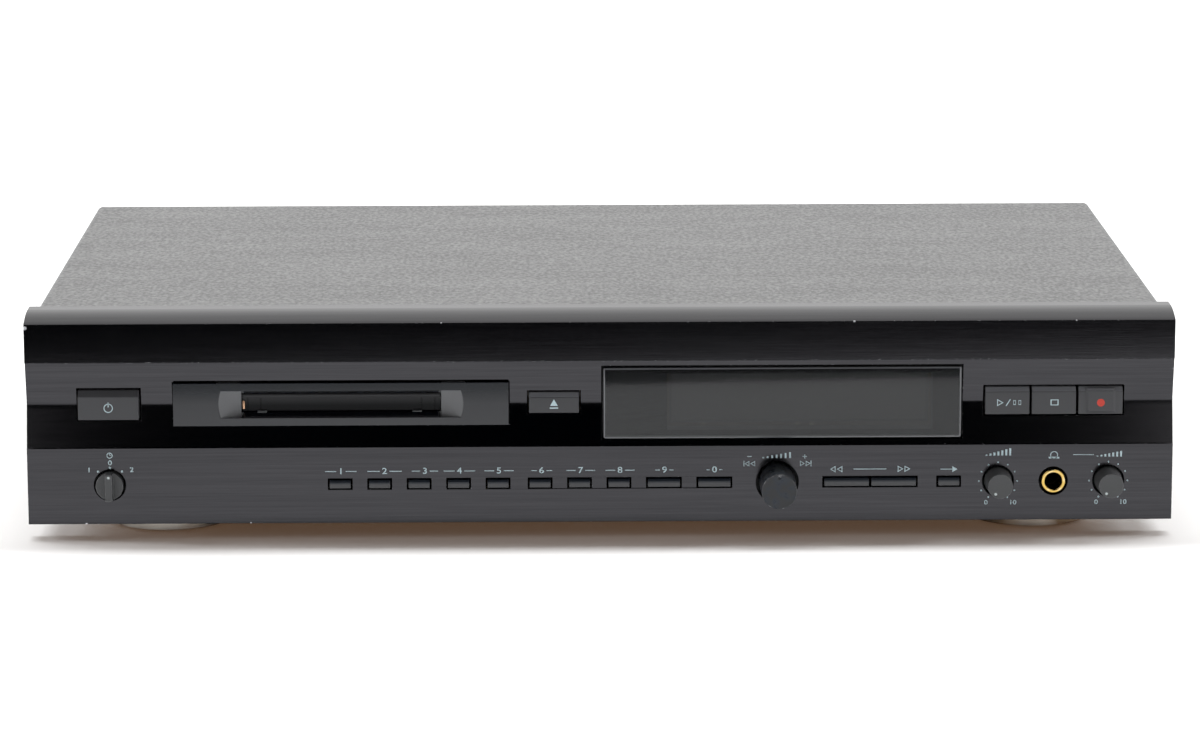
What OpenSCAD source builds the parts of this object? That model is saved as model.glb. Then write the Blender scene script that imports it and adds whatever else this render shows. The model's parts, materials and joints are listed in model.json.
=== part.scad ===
// Minidisc deck: a wide, flat machine with a disc slot, a display window, push
// keys and four rotary knobs on its front, standing on four round feet.
// Millimetres, +Z up, seen from the front along +Y. The origin lies under the
// middle of the deck, on the surface that the feet stand on.

/* [Case] */
// Width of the front panel
panel_w = 435; // [400:1:480]
// Height of the front panel, from its lower edge to the crease under the lip
panel_h = 77.3; // [72:0.1:95]
// Thickness of the front panel behind its flat bands
panel_t = 8; // [7:0.5:14]
// Distance from the panel's face to the rear edge of the cover
body_d = 262; // [240:1:340]
// Depth of the lip that runs back from the top of the panel
lip_d = 22; // [16:1:30]
// Height that the lip rises from the crease to its top
lip_rise = 3; // [1:0.1:5]
// Radius of the lip's rounded front
lip_r = 40; // [20:1:80]
// Thickness of the lip
lip_t = 2.5; // [1.5:0.1:4]
// How far each end of the panel stands out past the cover
end_step = 2.7; // [1.8:0.1:8]
// Height of the panel's lower edge above the floor
lift = 6; // [3:0.5:20]
// Thickness of the cover's sheet
cover_t = 1; // [0.6:0.1:2]
// Outside radius of the cover's bends
cover_r = 2.5; // [2.1:0.1:8]
// Step down from the top of the lip to the top of the cover
cover_drop = 0.5; // [0:0.1:2]
// Joint between the lip and the cover
cover_gap = 0.4; // [0.2:0.1:1.5]
// Height of the strip that turns down at the rear of the cover
cover_rear_h = 12; // [8:1:30]
// Thickness of the chassis sheet
sheet_t = 1.2; // [0.8:0.1:2]
// Height of the chassis floor above the panel's lower edge
floor_rise = 4; // [2:0.5:8]
// Height of the chassis sides
side_h = 19; // [14:1:40]
// Gap that the sheets keep from each other
sheet_gap = 0.3; // [0.1:0.05:0.6]

/* [Panel relief] */
// Height of the flat band under the crease
top_band_h = 14.8; // [8:0.1:18]
// Height of the flat band along the lower edge
low_band_h = 29.3; // [26:0.1:34]
// How far the lower band stands behind the upper one
low_band_back = 0.5; // [0:0.1:0.9]
// Sharp step at each edge of the groove
groove_step = 1; // [0.5:0.1:2]
// Depth of the groove at its middle
groove_d = 4.1; // [2.5:0.1:5]
// Radius at the bottom of the groove
valley_r = 12; // [4:0.5:30]

/* [Feet] */
// Radius of a foot
foot_r = 23; // [15:0.5:30]
// Distance from the panel's end to the middle of a foot
foot_inset_x = 51.5; // [40:0.5:80]
// Distance from the panel's face, or the cover's rear edge, to the middle of a foot
foot_inset_y = 34; // [32:0.5:60]
// Radius of the rubber pad under a foot
pad_r = 18; // [8:0.5:21]
// Thickness of the pad
pad_t = 2; // [1.2:0.1:4]
// How far the pad stands out of the foot
pad_out = 1; // [0.3:0.1:1.1]

/* [Slot] */
// Distance from the panel's left end to the middle of the slot
slot_inset = 119.2; // [110:0.1:130]
// Width of the bezel around the slot
bezel_w = 127; // [115:0.5:135]
// Height of the bezel
bezel_h = 16.4; // [14:0.1:24]
// How far the bezel's face lies behind the upper band
bezel_back = 1.2; // [0.2:0.1:2]
// Width of a disc cartridge
disc_w = 72; // [60:0.5:90]
// Depth of a disc cartridge
disc_d = 68; // [56:0.5:80]
// Thickness of a disc cartridge
disc_t = 5; // [4.5:0.1:6]
// Space between the cartridge and each side of the slot
slot_side = 1.8; // [1:0.1:3]
// Height of the slot beyond the cartridge's thickness
slot_spare = 2.2; // [2:0.1:3]
// Width of the finger recess at each side of the slot
notch_w = 8.7; // [4:0.1:14]
// Height of the sloped edge above and below the slot
notch_h = 1.6; // [0.6:0.1:3]
// Depth of the sloped recess around the slot
notch_d = 4; // [2:0.1:5]
// Radius of the round outer edge of each finger recess
notch_r = 15.6; // [10:0.1:30]
// Gap around the bezel and the window
trim_clear = 0.4; // [0.2:0.05:0.8]
// Wall of the sleeve behind the bezel
sleeve_wall = 2.4; // [1.5:0.1:4]
// Thickness of the slot door
door_t = 1; // [0.6:0.1:1.4]
// Radius of the door's hinge barrel
door_barrel_r = 0.8; // [0.6:0.05:1]
// Radius of the door's hinge pins
door_pin_r = 0.5; // [0.3:0.05:0.7]

/* [Display] */
// Height of the display window
window_h = 28; // [20:0.1:30]
// Gap between the window and the keys at its sides
window_gap = 8.2; // [4:0.1:14]
// Thickness of the window
window_t = 3; // [2:0.1:4]
// How far the window's face lies behind the upper band
window_back = 0.2; // [0:0.1:1]
// Bevel around the window
window_bevel = 0.8; // [0.3:0.1:1.2]
// Distance from the window's left edge to the display tube
tube_left = 25.6; // [10:0.1:34]
// Distance from the display tube to the window's right edge
tube_right = 12; // [6:0.1:20]
// Height of the display tube
tube_h = 19.8; // [12:0.1:22]
// Depth of the display tube
tube_d = 7.5; // [4:0.1:9]

/* [Keys] */
// Gap between a key and the edge of its hole
key_clear = 0.7; // [0.3:0.05:1]
// Gap between two keys in one hole
key_split = 0.9; // [0.4:0.05:1.5]
// Distance from the panel's left end to the middle of the power key
power_inset = 31.2; // [26:0.1:35]
// Width of the power key
power_w = 23; // [16:0.1:26]
// Height of the power key
power_h = 11.2; // [8:0.1:14]
// How far the power key's face lies behind the upper band
power_back = 0.6; // [0:0.1:3]
// Bevel along the power key
power_bevel = 2.3; // [0.5:0.1:3]
// Travel of the power key
power_travel = 3; // [1:0.1:3.2]
// Gap between the bezel's hole and the eject key's hole
eject_gap = 6.6; // [4:0.1:12]
// Width of the eject key
eject_w = 19; // [12:0.1:24]
// Height of the eject key
eject_h = 7.8; // [6:0.1:12]
// Distance from the panel's right end to the middle of the stop key
stop_inset = 45.3; // [42:0.1:55]
// Width of the play, stop and record keys
deck_key_w = 16.8; // [12:0.1:19]
// Height of the play, stop and record keys
deck_key_h = 10.5; // [8:0.1:14]
// How far the upper keys' faces lie behind the upper band
deck_key_back = 2; // [0.5:0.1:3]
// Travel of the upper keys
deck_key_travel = 1.5; // [0.5:0.1:2.5]
// Bevel along the upper keys
deck_key_bevel = 1.8; // [0.5:0.1:2.5]
// Margin around the raised block on the record key
rec_margin = 2.7; // [1:0.1:4]
// Height of the raised block on the record key
rec_rise = 0.9; // [0.3:0.1:1.5]
// Width of a small key
small_key_w = 8; // [7:0.1:9]
// Width of the two wider small keys
wide_key_w = 12.2; // [10:0.1:14]
// Width of each search key
search_key_w = 17; // [14:0.1:19]
// Height of the small keys
small_key_h = 3; // [2.4:0.1:5]
// How far the small keys stand out of the lower band
small_key_out = 1; // [0.2:0.1:2]
// Travel of the small keys
small_key_travel = 0.8; // [0.3:0.1:1.2]
// Bevel along the small keys
small_key_bevel = 0.7; // [0.3:0.05:1]
// Height of the lower row of keys and knobs above the panel's lower edge
low_row_z = 15.1; // [14:0.1:17]
// Distance from the middle of the slot back to the first small key's hole
first_key_back = 5.3; // [0:0.1:12]
// Extra space between the first and second groups of small keys
group_extra = 1; // [0:0.1:3]
// Extra space at each side of the jog knob
jog_extra = 3.4; // [0:0.1:5]
// Extra space between the search keys and the input key
search_extra = 1.5; // [0:0.1:4]
// Extra space between the input key and the record level knob
input_extra = 2.4; // [0:0.1:5]
// Depth of the channel that joins the editing keys
channel_d = 0.5; // [0.2:0.1:1]
// Width of the lip that keeps a key behind the frame
key_lip = 1.5; // [0.8:0.1:2]
// Thickness of that lip
key_lip_t = 1.2; // [0.8:0.1:1.6]
// Radius of a key's plunger
plunger_r = 1.2; // [0.8:0.1:1.5]

/* [Knobs] */
// Distance from the panel's right end to the middle of the phones level knob
level_inset = 24.3; // [20:0.1:28]
// Distance between the level knobs and the phones socket
dial_pitch = 21; // [17:0.1:23]
// Radius of the level knobs at the panel
level_r = 5.2; // [4:0.1:7]
// How much narrower a level knob is at its face
level_taper = 0.5; // [0:0.1:1.5]
// How far the level knobs stand out
level_out = 10; // [6:0.5:20]
// Radius of the jog knob at the panel
jog_r = 6.9; // [5:0.1:9]
// How much narrower the jog knob is at its face
jog_taper = 0.25; // [0:0.05:1]
// How far the jog knob stands out
jog_out = 16.5; // [8:0.5:25]
// Radius of the timer knob
timer_r = 5.2; // [4:0.1:7]
// How far the timer knob's disc stands out
timer_out = 2.4; // [1:0.1:4]
// Height of the grip on the timer knob
grip_rise = 3.6; // [2:0.1:6]
// Width of that grip
grip_w = 2.7; // [1.5:0.1:4]
// Gap between a level or timer knob and its hole
knob_clear = 0.9; // [0.4:0.05:1.5]
// Gap between the jog knob and its hole
jog_clear = 1.25; // [0.5:0.05:2]
// Radius of the knobs' shafts
shaft_r = 3; // [2:0.1:3.5]
// Clearance of a shaft in its bush or knob
shaft_clear = 0.05; // [0.03:0.01:0.1]
// Depth of the shaft's hole in a knob
knob_grip_d = 7; // [5:0.5:9]
// Radius of the pointer dimple on a knob
dimple_r = 0.6; // [0.3:0.05:0.9]
// Depth of that dimple
dimple_d = 0.3; // [0.1:0.05:0.6]

/* [Phones socket] */
// Radius of the plug hole
plug_r = 3.25; // [3:0.05:3.5]
// Outside radius of the socket's ring
ring_r = 4.6; // [4.3:0.05:5]
// Gap between the ring and the edge of its hole in the panel
ring_clear = 0.95; // [0.4:0.05:1.4]
// How far the ring stands out of the lower band
ring_out = 1; // [0.2:0.1:2]
// Depth of the socket's body behind the frame
socket_d = 29; // [22:0.5:40]
// Width and height of the socket's body
socket_w = 12.5; // [11:0.1:14]

/* [Front frame and board] */
// Thickness of the frame behind the panel
frame_t = 2.5; // [2:0.1:4]
// Distance from the frame to the front board
board_gap = 9.5; // [9:0.1:14]
// Thickness of the circuit boards
board_t = 1.6; // [1:0.1:2.4]
// Gap between a key's lip and the frame
lip_gap = 0.3; // [0.1:0.05:0.6]
// Height of a key's switch
switch_t = 3.5; // [2.5:0.1:3.9]
// Width of a key's switch
switch_w = 6; // [4:0.1:7]
// Width of a level knob's control on the board
control_w = 9.8; // [8:0.1:11]
// Depth of those controls
control_d = 7; // [5:0.1:8]
// Radius of the posts between the frame and the board
post_r = 3.2; // [2:0.1:4]

/* [Disc mechanism] */
// Gap between the cartridge and its holder
holder_play = 0.4; // [0.2:0.05:0.6]
// Wall of the holder
holder_wall = 1.2; // [0.8:0.1:1.5]
// Distance that the holder sinks to load a disc
holder_drop = 4.6; // [3.5:0.1:5]
// Radius of the holder's guide pins
guide_pin_r = 1.2; // [0.8:0.1:1.8]
// Clearance of the moving pins
pin_clear = 0.06; // [0.04:0.01:0.1]
// Space between the holder and the mechanism's side walls
wall_space = 5.4; // [3:0.1:8]
// Thickness of the mechanism's plate and walls
mech_t = 1.5; // [1:0.1:2]
// Radius of the turntable
turntable_r = 8.5; // [6:0.1:10]
// Radius of the turntable's centring boss
hub_r = 2.9; // [2:0.1:3.5]
// Radius of the motor's spindle
spindle_r = 0.75; // [0.6:0.05:1.2]
// Radius of the spindle motor
motor_r = 9; // [7:0.1:9.3]
// Height of the spindle motor
motor_h = 5; // [3:0.1:9]
// Distance that the pickup travels
pickup_travel = 15; // [8:0.5:17]
// Width of the pickup
pickup_w = 23; // [18:0.5:24]
// Length of the pickup
pickup_l = 10; // [8:0.5:12]
// Radius of the guide rods
rod_r = 1.5; // [1:0.1:1.9]
// Radius of the lead screw
screw_r = 1.3; // [1:0.1:1.6]
// Length of the head arm
arm_l = 38; // [30:0.5:45]
// Width of the head arm
arm_w = 14; // [8:0.5:16]

/* [Rear] */
// How far the line sockets stand out of the cover's rear edge
jack_out = 8.5; // [6:0.5:14]
// Outside radius of a line socket's shell
jack_r = 4.15; // [4:0.05:4.5]
// Wall of that shell
jack_wall = 0.6; // [0.4:0.05:0.8]
// How far the collar at the foot of the shell stands out around it
jack_collar = 0.6; // [0.3:0.1:1]
// Radius of the hole for the plug's pin
jack_hole_r = 1.7; // [1.65:0.05:1.9]
// Distance between two line sockets
jack_pitch = 14; // [12:0.5:18]
// Distance from the panel's right end to the inner line sockets
line_inset = 110; // [100:1:120]
// Distance from the inner line sockets to the coaxial socket
coax_gap = 38; // [30:0.5:44]
// Distance from the coaxial socket to the outer optical socket
optical_gap = 66; // [62:0.5:70]
// Width of an optical socket's opening
optical_w = 8.4; // [7:0.1:10]
// Wall around that opening
optical_wall = 2; // [1:0.1:3]
// Depth of that opening
optical_d = 10; // [6:0.5:14]
// Distance between two optical sockets
optical_pitch = 20; // [17:0.5:24]
// Distance from the panel's left end to the middle of the mains inlet
inlet_inset = 40; // [30:1:60]
// Height of the mains inlet above the chassis floor
inlet_rise = 26; // [16:0.5:40]
// Distance between the pins of the mains inlet
inlet_pitch = 8.6; // [7:0.1:10]
// Radius of the mains inlet's pins
inlet_pin_r = 1.2; // [0.8:0.1:1.5]
// Height of the mains inlet's opening
inlet_h = 8.4; // [7:0.1:10]
// Depth of the mains inlet's opening
inlet_d = 11; // [8:0.5:16]

/* [Inside] */
// Depth of the main board
main_board_d = 112; // [90:1:120]
// Height of the main board above the chassis floor
main_board_rise = 6.8; // [4:0.1:9]
// Width of the transformer's core
core_w = 62; // [50:1:70]
// Height of the transformer's core
core_h = 52; // [44:1:56]
// Depth of the transformer's core
core_d = 34; // [24:1:40]
// Distance from the panel's left end to the transformer's core
core_inset_x = 14; // [10:1:18]
// Distance from the rear panel to the middle of the core
core_inset_y = 70; // [66:1:72]
// Radius of a screw's shank
screw_shank_r = 1.4; // [1:0.1:1.8]
// Radius of a screw's head
screw_head_r = 3; // [2.4:0.1:3.6]
// Height of a screw's head
screw_head_h = 1.6; // [1:0.1:1.7]
// Clearance around a screw's shank
screw_clear = 0.15; // [0.05:0.05:0.4]

/* [Hidden] */
$fn = 72;
over = 1;

panel_half = panel_w / 2;
cover_half = panel_half - end_step;
lip_top = panel_h + lip_rise;
cover_top = lip_top - cover_drop;
cover_front = lip_d + cover_gap;
floor_top = floor_rise + sheet_t;
chassis_half = cover_half - cover_t - sheet_gap;
rear_out = body_d - cover_t - sheet_gap;
rear_in = rear_out - sheet_t;
inside_top = cover_top - cover_t - sheet_gap;
origin_y = (body_d + jack_out - jog_out) / 2;

groove_low = low_band_h;
groove_high = panel_h - top_band_h;
row_z = (groove_low + groove_high) / 2;

frame_back = panel_t + frame_t;
board_front = frame_back + board_gap;
board_back = board_front + board_t;
lip_front = frame_back + lip_gap;
switch_front = board_front - switch_t;
key_rest_gap = 0.2;
board_edge = 3.3;
board_low = floor_top + board_edge;
board_high = panel_h - board_edge;

slot_x = slot_inset - panel_half;
slot_w = disc_w + 2 * slot_side;
slot_h = disc_t + slot_spare;
bezel_face = bezel_back;
notch_bottom = bezel_face + notch_d;
notch_rise = (pow(notch_r, 2) - pow(notch_r - notch_w, 2) - pow(notch_d, 2)) / (2 * notch_d);
sleeve_back = frame_back + 2;
door_y = notch_bottom + door_barrel_r + 0.5;
door_drop = slot_h / 2 - door_barrel_r - sheet_gap;
door_len = slot_w - 2 * sheet_gap;
door_swing = door_drop + slot_h / 2 - sheet_gap;

power_x = power_inset - panel_half;
bezel_right = slot_x + bezel_w / 2;
eject_x = bezel_right + trim_clear + eject_gap + key_clear + eject_w / 2;
stop_x = panel_half - stop_inset;
deck_pitch = deck_key_w + key_split;
deck_hole_w = 3 * deck_key_w + 2 * key_split + 2 * key_clear;
window_left = eject_x + eject_w / 2 + key_clear + window_gap;
window_right = stop_x - deck_hole_w / 2 - window_gap;
window_x = (window_left + window_right) / 2;
window_w = window_right - window_left;
tube_x = (window_left + tube_left + window_right - tube_right) / 2;
tube_w = window_w - tube_left - tube_right;

level_x = panel_half - level_inset;
phones_x = level_x - dial_pitch;
rec_x = phones_x - dial_pitch;

// The lower row: hole widths from left to right, and the space after each one.
small_hole_w = small_key_w + 2 * key_clear;
wide_hole_w = wide_key_w + 2 * key_clear;
search_hole_w = 2 * search_key_w + key_split + 2 * key_clear;
jog_hole_w = 2 * (jog_r + jog_clear);
row_holes = concat(
    [for (i = [0 : 7]) small_hole_w],
    [wide_hole_w, wide_hole_w, jog_hole_w, search_hole_w, small_hole_w]
);
row_extras = [0, 0, 0, 0, group_extra, 0, 0, 0, 0, jog_extra, jog_extra, search_extra, input_extra];
function sum(list, last) = last < 0 ? 0 : list[last] + sum(list, last - 1);
row_start = slot_x - first_key_back;
row_end = rec_x - level_r - knob_clear;
row_gap = (row_end - row_start - sum(row_holes, 12) - sum(row_extras, 12)) / 13;
function row_x(i) = row_start + sum(row_holes, i - 1) + sum(row_extras, i - 1)
    + i * row_gap + row_holes[i] / 2;
jog_x = row_x(10);
search_x = row_x(11);
search_side = (search_key_w + key_split) / 2;

// Every key as [middle x, middle z, width, height].
small_keys = [for (i = [0 : 7]) [row_x(i), low_row_z, small_key_w, small_key_h]];
wide_keys = [for (i = [8 : 9]) [row_x(i), low_row_z, wide_key_w, small_key_h]];
search_keys = [for (s = [-1, 1]) [search_x + s * search_side, low_row_z, search_key_w, small_key_h]];
input_key = [row_x(12), low_row_z, small_key_w, small_key_h];
low_keys = concat(small_keys, wide_keys, search_keys, [input_key]);
power_key = [power_x, row_z, power_w, power_h];
eject_key = [eject_x, row_z, eject_w, eject_h];
deck_keys = [for (i = [-1 : 1]) [stop_x + i * deck_pitch, row_z, deck_key_w, deck_key_h]];
all_keys = concat([power_key, eject_key], deck_keys, low_keys);

level_hole_r = level_r + knob_clear;
timer_hole_r = timer_r + knob_clear;
jog_hole_r = jog_r + jog_clear;
ring_hole_r = ring_r + ring_clear;
knob_back = frame_back - frame_t - 2;
shaft_hole_r = shaft_r + 0.6;
low_face = low_band_back;

bay_low = -slot_h / 2 + 0.1;
bay_h = disc_t + holder_play;
bay_high = bay_low + bay_h;
holder_low = bay_low - holder_wall;
holder_high = bay_high + holder_wall;
holder_front = sleeve_back + 1.5;
holder_in = disc_w / 2 + holder_play;
holder_half = holder_in + holder_wall;
holder_stop = holder_front + disc_d + 2;
holder_back = holder_stop + holder_wall;
spindle_y = holder_front + 2 + disc_d / 2;
wall_in = holder_half + wall_space;
wall_out = wall_in + mech_t;
disc_seat = bay_low + holder_play / 2 - holder_drop;
turntable_top = disc_seat - 0.2;
turntable_low = turntable_top - 1.6;
plate_top = turntable_low - 2.3;
plate_low = plate_top - mech_t;
mech_front = board_back + 2.4;
pickup_y = spindle_y + motor_r + 0.7;
pickup_low = plate_low - motor_h;
rod_z = plate_low - 2.7;
rod_x = pickup_w / 2 + 4.5;
lead_x = rod_x + rod_r + screw_r + 4.2;
boss_front = pickup_y - 6.7;
boss_l = 4;
boss_back = pickup_y + pickup_l + pickup_travel + 8;
mech_back = boss_back + boss_l + 6;
arm_y = mech_back - 4;
arm_z = holder_high + 3.4;
arm_barrel_r = 1.8;
arm_pin_r = 1;
ear_x = arm_w / 2 + 5;
post_w = 7;
post_hole_d = 9;
post_x = wall_out - post_w / 2 - 1;
post_ys = [mech_front + post_w / 2 + 0.5, mech_back - post_w / 2 - 0.5];
guide_ys = [mech_front + 10, holder_back - 11];
floor_z = floor_top - row_z;

main_board_under = 56;
main_board_x0 = slot_x + wall_out - main_board_under;
main_board_x1 = chassis_half - 8;
main_board_y1 = rear_in - 2;
main_board_y0 = main_board_y1 - main_board_d;
main_board_low = floor_top + main_board_rise;
main_board_top = main_board_low + board_t;
jack_z = main_board_top + 8.4;
line_x = panel_half - line_inset;
coax_x = line_x - coax_gap;
optical_x = coax_x - optical_gap;
jack_spots = concat(
    [for (i = [0, 1]) for (j = [0, 1]) [line_x + i * jack_pitch, jack_z + j * jack_pitch]],
    [[coax_x, jack_z]]
);
optical_half = optical_w / 2 + optical_wall;
optical_z = main_board_top + optical_half;
optical_spots = [for (i = [0 : 2]) [optical_x + i * optical_pitch, optical_z]];
optical_out = 1;
inlet_x = inlet_inset - panel_half;
inlet_z = floor_top + inlet_rise;
inlet_w = inlet_pitch + inlet_h - 1.6;
inlet_wall = 2;
jack_end = body_d + jack_out;
jack_block_d = 14;
jack_block_half = (jack_pitch - 0.4) / 2;
core_x = core_w / 2 + core_inset_x - panel_half;
core_y = rear_in - core_inset_y;
core_z = floor_top + core_h / 2;
core_leg_w = 18;
core_yoke = 9;
core_side = 11;

screw_hole_r = screw_shank_r + screw_clear;
foot_xs = [foot_inset_x - panel_half, panel_half - foot_inset_x];
foot_ys = [foot_inset_y, body_d - foot_inset_y];
foot_low = pad_out - lift;
recess_low = pad_t - lift;
cover_screw_front = 60;
cover_screw_rear = 50;
cover_screw_ys = [cover_screw_front, body_d - cover_screw_rear];
cover_screw_z = floor_top + side_h - 8;
rear_screw_xs = [-cover_half * 0.8, 0, cover_half * 0.8];
rear_screw_z = cover_top - cover_rear_h / 2 - 0.5;
tab_h = 10;
tab_screw_z = floor_top + tab_h / 2;
tab_screw_xs = [-150, 150];
tab_w = 16;
board_screw_side = 6;
board_screw_rear = 14;
board_screws = [
    for (x = [main_board_x0 + board_screw_side, main_board_x1 - board_screw_side])
        for (y = [main_board_y0 + board_screw_side, main_board_y1 - board_screw_rear]) [x, y]
];

// Helpers. Sizes inside the case are measured from the panel's face (y) and from
// the panel's lower edge (z), and in_case() moves them to the model's origin.
module in_case() translate([0, -origin_y, lift]) children();

module block(low, high) translate(low) cube(high - low);

module rod_along_y(r, y0, y1) translate([0, y0, 0]) rotate([-90, 0, 0]) cylinder(r = r, h = y1 - y0);

module rod_along_x(r, x0, x1) translate([x0, 0, 0]) rotate([0, 90, 0]) cylinder(r = r, h = x1 - x0);

// A profile drawn as [y, z] points, drawn out along X about the middle.
module along_x(length) rotate([90, 0, 90]) linear_extrude(length, center = true) children();

// A hole from y0 to y1 for each key in the list.
module key_holes(keys, clear, y0, y1)
    for (k = keys)
        translate([k[0], y0, k[1]])
            block([-k[2] / 2 - clear, 0, -k[3] / 2 - clear],
                [k[2] / 2 + clear, y1 - y0, k[3] / 2 + clear]);

// The front panel's section: lip, upper band, groove and lower band.
lip_flat = sqrt(pow(lip_r, 2) - pow(lip_r - lip_rise, 2));
groove_edge = 0.3;
valley = [groove_d - valley_r, row_z];
groove_rim = [groove_step, groove_high - groove_edge];
rim_angle = atan2(groove_rim.y - valley.y, groove_rim.x - valley.x);
valley_angle = rim_angle - acos(valley_r / norm(groove_rim - valley));
valley_side = valley_r * [cos(valley_angle), sin(valley_angle)];

module rounded_front() {
    square([lip_d, panel_h]);
    translate([lip_flat, 0]) square([lip_d, lip_top]);
    translate([lip_flat, lip_top - lip_r]) circle(r = lip_r, $fn = 180);
}

module wall_and_lip() {
    square([panel_t, lip_top]);
    translate([0, lip_top - lip_t]) square([lip_d, lip_t]);
}

module groove_section() {
    polygon([
        [-over, groove_low],
        [low_band_back, groove_low],
        [groove_step, groove_low + groove_edge],
        [valley.x + valley_side.x, valley.y - valley_side.y],
        [valley.x + valley_side.x, valley.y + valley_side.y],
        groove_rim,
        [0, groove_high],
        [-over, groove_high]
    ]);
    intersection() {
        translate(valley) circle(r = valley_r, $fn = 180);
        translate([0, groove_low]) square([panel_t, groove_high - groove_low]);
    }
}

module panel_section() difference() {
    intersection() {
        wall_and_lip();
        rounded_front();
    }
    groove_section();
    translate([-over, -over]) square([low_band_back + over, groove_low + over]);
}

module front_panel() in_case() color("#26262a") difference() {
    along_x(panel_w) panel_section();
    key_holes([power_key, eject_key], key_clear, -over, panel_t + over);
    translate([stop_x, -over, row_z])
        block([-deck_hole_w / 2, 0, -deck_key_h / 2 - key_clear],
            [deck_hole_w / 2, panel_t + 2 * over, deck_key_h / 2 + key_clear]);
    key_holes(concat(small_keys, wide_keys, [input_key]), key_clear, -over, panel_t + over);
    search_hole(-over, panel_t + over);
    block([row_x(5), -over, low_row_z - small_key_h / 2 - key_clear],
        [row_x(9), low_face + channel_d, low_row_z + small_key_h / 2 + key_clear]);
    translate([slot_x, 0, row_z])
        block([-bezel_w / 2 - trim_clear, -over, -bezel_h / 2 - trim_clear],
            [bezel_w / 2 + trim_clear, panel_t + over, bezel_h / 2 + trim_clear]);
    translate([window_x, 0, row_z])
        block([-window_w / 2 - trim_clear, -over, -window_h / 2 - trim_clear],
            [window_w / 2 + trim_clear, panel_t + over, window_h / 2 + trim_clear]);
    for (k = [[power_x, timer_hole_r], [jog_x, jog_hole_r], [rec_x, level_hole_r],
        [phones_x, ring_hole_r], [level_x, level_hole_r]])
        translate([k[0], 0, low_row_z]) rod_along_y(k[1], -over, panel_t + over);
}

module search_hole(y0, y1) translate([search_x, y0, low_row_z])
    block([-search_hole_w / 2, 0, -small_key_h / 2 - key_clear],
        [search_hole_w / 2, y1 - y0, small_key_h / 2 + key_clear]);

// The frame behind the panel carries the window, the board and the keys.
frame_half = chassis_half - 2;
frame_high = panel_h - lip_t - 1;
ledge_back = board_back + 1;
rim_wall = 3;
low_post_side = 30;
post_spots = [
    [-frame_half + 8, frame_high - 7],
    [(eject_x + bezel_right) / 2 + 4, frame_high - 7],
    [frame_half - 8, frame_high - 7],
    [power_x + low_post_side, groove_low - 2],
    [eject_x, groove_low - 2],
    [frame_half - 8, groove_low - 2]
];

module front_frame() in_case() color("#303236") difference() {
    union() {
        block([-frame_half, panel_t, floor_top], [frame_half, frame_back, frame_high]);
        block([-frame_half, frame_back, floor_top], [frame_half, ledge_back, floor_top + 2]);
        translate([window_x, 0, row_z])
            block([-window_w / 2, window_back + window_t, -window_h / 2],
                [window_w / 2, panel_t, window_h / 2]);
        for (p = post_spots)
            translate([p[0], 0, p[1]]) rod_along_y(post_r, frame_back, board_front);
    }
    translate([tube_x, 0, row_z])
        block([-tube_w / 2 - 1, -over, -tube_h / 2 - 1],
            [tube_w / 2 + 1, frame_back + over, tube_h / 2 + 1]);
    translate([slot_x, 0, row_z])
        block([-sleeve_half - sheet_gap, 0, -sleeve_h / 2 - sheet_gap],
            [sleeve_half + sheet_gap, frame_back + over, sleeve_h / 2 + sheet_gap]);
    key_holes(all_keys, key_clear, panel_t - over, frame_back + over);
    for (x = [power_x, jog_x, rec_x, level_x])
        translate([x, 0, low_row_z]) rod_along_y(shaft_hole_r, 0, frame_back + over);
    translate([phones_x, 0, low_row_z]) rod_along_y(ring_r + shaft_clear, 0, frame_back + over);
}

// The slot's bezel: a face with a sloped recess, and a sleeve that leads inside.
sleeve_half = slot_w / 2 + sleeve_wall;
sleeve_h = slot_h + 2 * sleeve_wall;

module sloped_recess() {
    translate([-slot_w / 2, 0, 0]) rotate([90, 0, 90]) linear_extrude(slot_w) polygon([
        [bezel_face - over, -slot_h / 2 - notch_h], [bezel_face - over, slot_h / 2 + notch_h],
        [bezel_face, slot_h / 2 + notch_h], [notch_bottom, slot_h / 2],
        [notch_bottom, -slot_h / 2], [bezel_face, -slot_h / 2 - notch_h]
    ]);
    for (s = [0, 180])
        rotate([0, s, 0]) intersection() {
            translate([slot_w / 2 + notch_w - notch_r, bezel_face - notch_rise, 0])
                sphere(r = norm([notch_r, notch_rise]));
            block([slot_w / 2 - over, bezel_face - over, -slot_h / 2 - notch_h],
                [slot_w / 2 + notch_w + over, notch_bottom, slot_h / 2 + notch_h]);
        }
}

module slot_bezel() in_case() color("#3a3a3e") translate([slot_x, 0, row_z]) difference() {
    union() {
        block([-bezel_w / 2, bezel_face, -bezel_h / 2], [bezel_w / 2, panel_t, bezel_h / 2]);
        block([-sleeve_half, panel_t, -sleeve_h / 2], [sleeve_half, sleeve_back, sleeve_h / 2]);
    }
    sloped_recess();
    block([-slot_w / 2, bezel_face, -slot_h / 2], [slot_w / 2, sleeve_back + over, slot_h / 2]);
    translate([0, door_y, door_drop])
        rod_along_x(door_pin_r + shaft_clear, -slot_w / 2 - 1.4, slot_w / 2 + 1.4);
}

module slot_door() in_case() color("#1c1c1f") translate([slot_x, door_y, row_z + door_drop]) {
    rod_along_x(door_barrel_r, -door_len / 2, door_len / 2);
    rod_along_x(door_pin_r, -slot_w / 2 - 1.2, slot_w / 2 + 1.2);
    difference() {
        block([-door_len / 2, -door_t / 2, -door_swing], [door_len / 2, door_t / 2, 0]);
        for (s = [-1, 1])
            for (i = [0 : 1])
                translate([s * (door_len / 2 - 7 + 5 * i), 0, 0])
                    block([-0.3, -door_t, -door_swing - over], [0.3, -door_t / 2 + 0.3, -door_barrel_r]);
    }
}

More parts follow.
